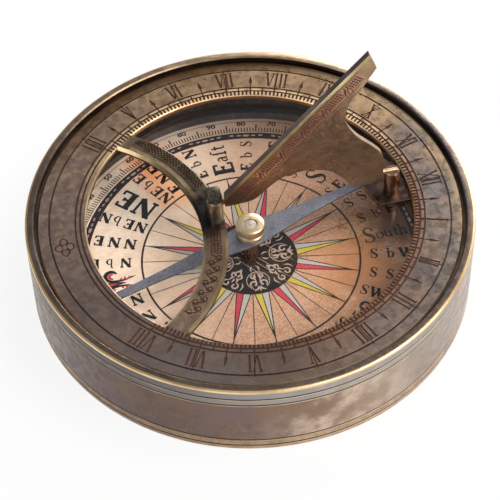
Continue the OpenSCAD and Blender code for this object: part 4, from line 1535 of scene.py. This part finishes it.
def print_lily():
    """A plain lily for North: a curled petal on each side of a pointed one, with red."""
    black, red = Ink("lines"), Ink("scrolls")
    for hand in (-1, 1):
        turn = [(*polar(1.25, angle, (-28.9, 2.1)), width) for angle, width in
                ((20, 0.25), (50, 0.6), (85, 0.8), (120, 0.85), (160, 0.9), (200, 0.85),
                 (235, 0.7), (265, 0.6))]
        tail = [(-27.9, 0.7, 0.5), (-26.4, 0.7, 0.4), (-25.1, 1.1, 0.45), (-24.0, 1.3, 0.08)]
        black.line([(x, y * hand, w) for x, y, w in smooth(turn + tail, 3)])
        inner = [(*polar(0.65, angle, (-28.7, 2.05)), width) for angle, width in
                 ((50, 0.1), (100, 0.45), (160, 0.6), (220, 0.6), (280, 0.3))]
        red.line([(x, y * hand, w) for x, y, w in smooth(inner, 4)])
        for x, y in ((-27.2, 1.5), (-26.4, 1.75), (-25.6, 1.6)):
            red.mark([(x - 0.4, 0.85 * hand), (x + 0.4, 0.85 * hand), (x + 0.3, y * hand)])
    black.mark([(-x, y) for x, y in ((26.0, 0), (28.6, 0.6), (31.2, 0.6), (33.4, 0),
                                     (31.2, -0.6), (28.6, -0.6))])
    red.mark([(-x, y) for x, y in ((27.6, 0), (29.4, 0.36), (31.8, 0), (29.4, -0.36))])
    print_piece("print_lily_black", black.mesh("lily"), BLACK_INK)
    print_piece("print_lily_red", red.mesh("lily petals"), RED_INK)


# Finishes of the CAD nodes that are shown as they are

def dress_nodes():
    finishes = {
        "base_plate": CASE_BRASS, "pivot_screw": POST_BRASS, "card_backing": BOARD,
        "compass_card": PAPER, "card_ring": CARD_RING_BRASS, "lining_tube": LINING,
        "pivot_column": POST_BRASS, "pivot_pin": PIN_STEEL, "glass": GLASS,
        "glass_ring": LINING, "bracket_rivets": POST_BRASS,
        "noon_post": POST_BRASS, "needle": NEEDLE_STEEL,
    }
    for node, material in finishes.items():
        data = NODES[node].data
        data.materials.clear()
        data.materials.append(material)


# The floor, the light and the camera

def stage():
    """A pale floor that glows for the camera, through the glass and in reflections, so that
    it looks as white as the photo's background and lights the object little."""
    size, glow_share = 2.0, 0.85
    data = bpy.data.meshes.new("floor")
    data.from_pydata([(-size, -size, 0), (size, -size, 0), (size, size, 0), (-size, size, 0)],
                     [], [(0, 1, 2, 3)])
    paint = Paint("Pale floor")
    paint.base = (0.86, 0.86, 0.87, 1)
    glow = node_in(paint.tree, "ShaderNodeEmission", {"Color": (1, 1, 1, 1), "Strength": 1.0})
    rays = node_in(paint.tree, "ShaderNodeLightPath")
    seen = rays["Is Camera Ray"]
    for kind in ("Is Transmission Ray", "Is Glossy Ray"):
        seen = math_in(paint.tree, "ADD", seen, rays[kind], use_clamp=True)
    paint.show_both(paint.times(seen, glow_share), paint.shader.outputs[0], glow[0])
    data.materials.append(paint.finish(0.0, 0.9, 0.0))
    floor = linked("floor", data)


def softbox(name, place, size, power, colour):
    """An area lamp at a place in metres, turned to the object."""
    lamp = bpy.data.lights.new(name, "AREA")
    lamp.shape = "RECTANGLE"
    lamp.size, lamp.size_y = size
    lamp.energy = power
    lamp.color = colour
    obj = linked(name, lamp)
    obj.location = place
    aim = Vector((0, 0, 0.02))
    obj.rotation_euler = (aim - Vector(place)).to_track_quat("-Z", "Y").to_euler()


def lights():
    """A dim blue-white world, and three warm softboxes round the object."""
    world = bpy.data.worlds.new("Studio")
    SCENE.world = world
    world.use_nodes = True
    back = world.node_tree.nodes["Background"]
    back.inputs["Color"].default_value = (0.95, 0.97, 1.0, 1)
    back.inputs["Strength"].default_value = 0.32
    for name, place, size, power, colour in (
            ("back softbox", (0.75, 1.05, 0.62), (0.9, 0.35), 14, (1.0, 0.97, 0.92)),
            ("key softbox", (0.6, -0.35, 1.0), (0.8, 0.8), 12, (1.0, 0.97, 0.94)),
            ("left softbox", (-0.95, -0.65, 0.5), (0.7, 0.5), 8, (1.0, 0.98, 0.95))):
        softbox(name, place, size, power, colour)


def camera():
    place = Vector((-52.4, -241.5, 303.25)) * MM
    aim = Vector((-2.43, -10.37, 18.7)) * MM
    roll = -0.026
    lens = bpy.data.cameras.new("camera")
    lens.sensor_width = 36
    lens.lens = 135.8
    lens.clip_start = 0.01
    obj = linked("camera", lens)
    obj.location = place
    turn = (aim - place).to_track_quat("-Z", "Y").to_matrix()
    obj.rotation_euler = (turn @ Euler((0, 0, roll)).to_matrix()).to_euler()
    SCENE.camera = obj


case_wall()
hour_ring()
bow_post()
noon_bracket()
gnomon_plate()
needle_cap()
needle_jewel()
print_star()
print_scale()
print_black()
print_lettering()
print_numbers()
print_scrolls()
print_lily()
dress_nodes()
stage()
lights()
camera()
SCENE.view_settings.view_transform = "Standard"
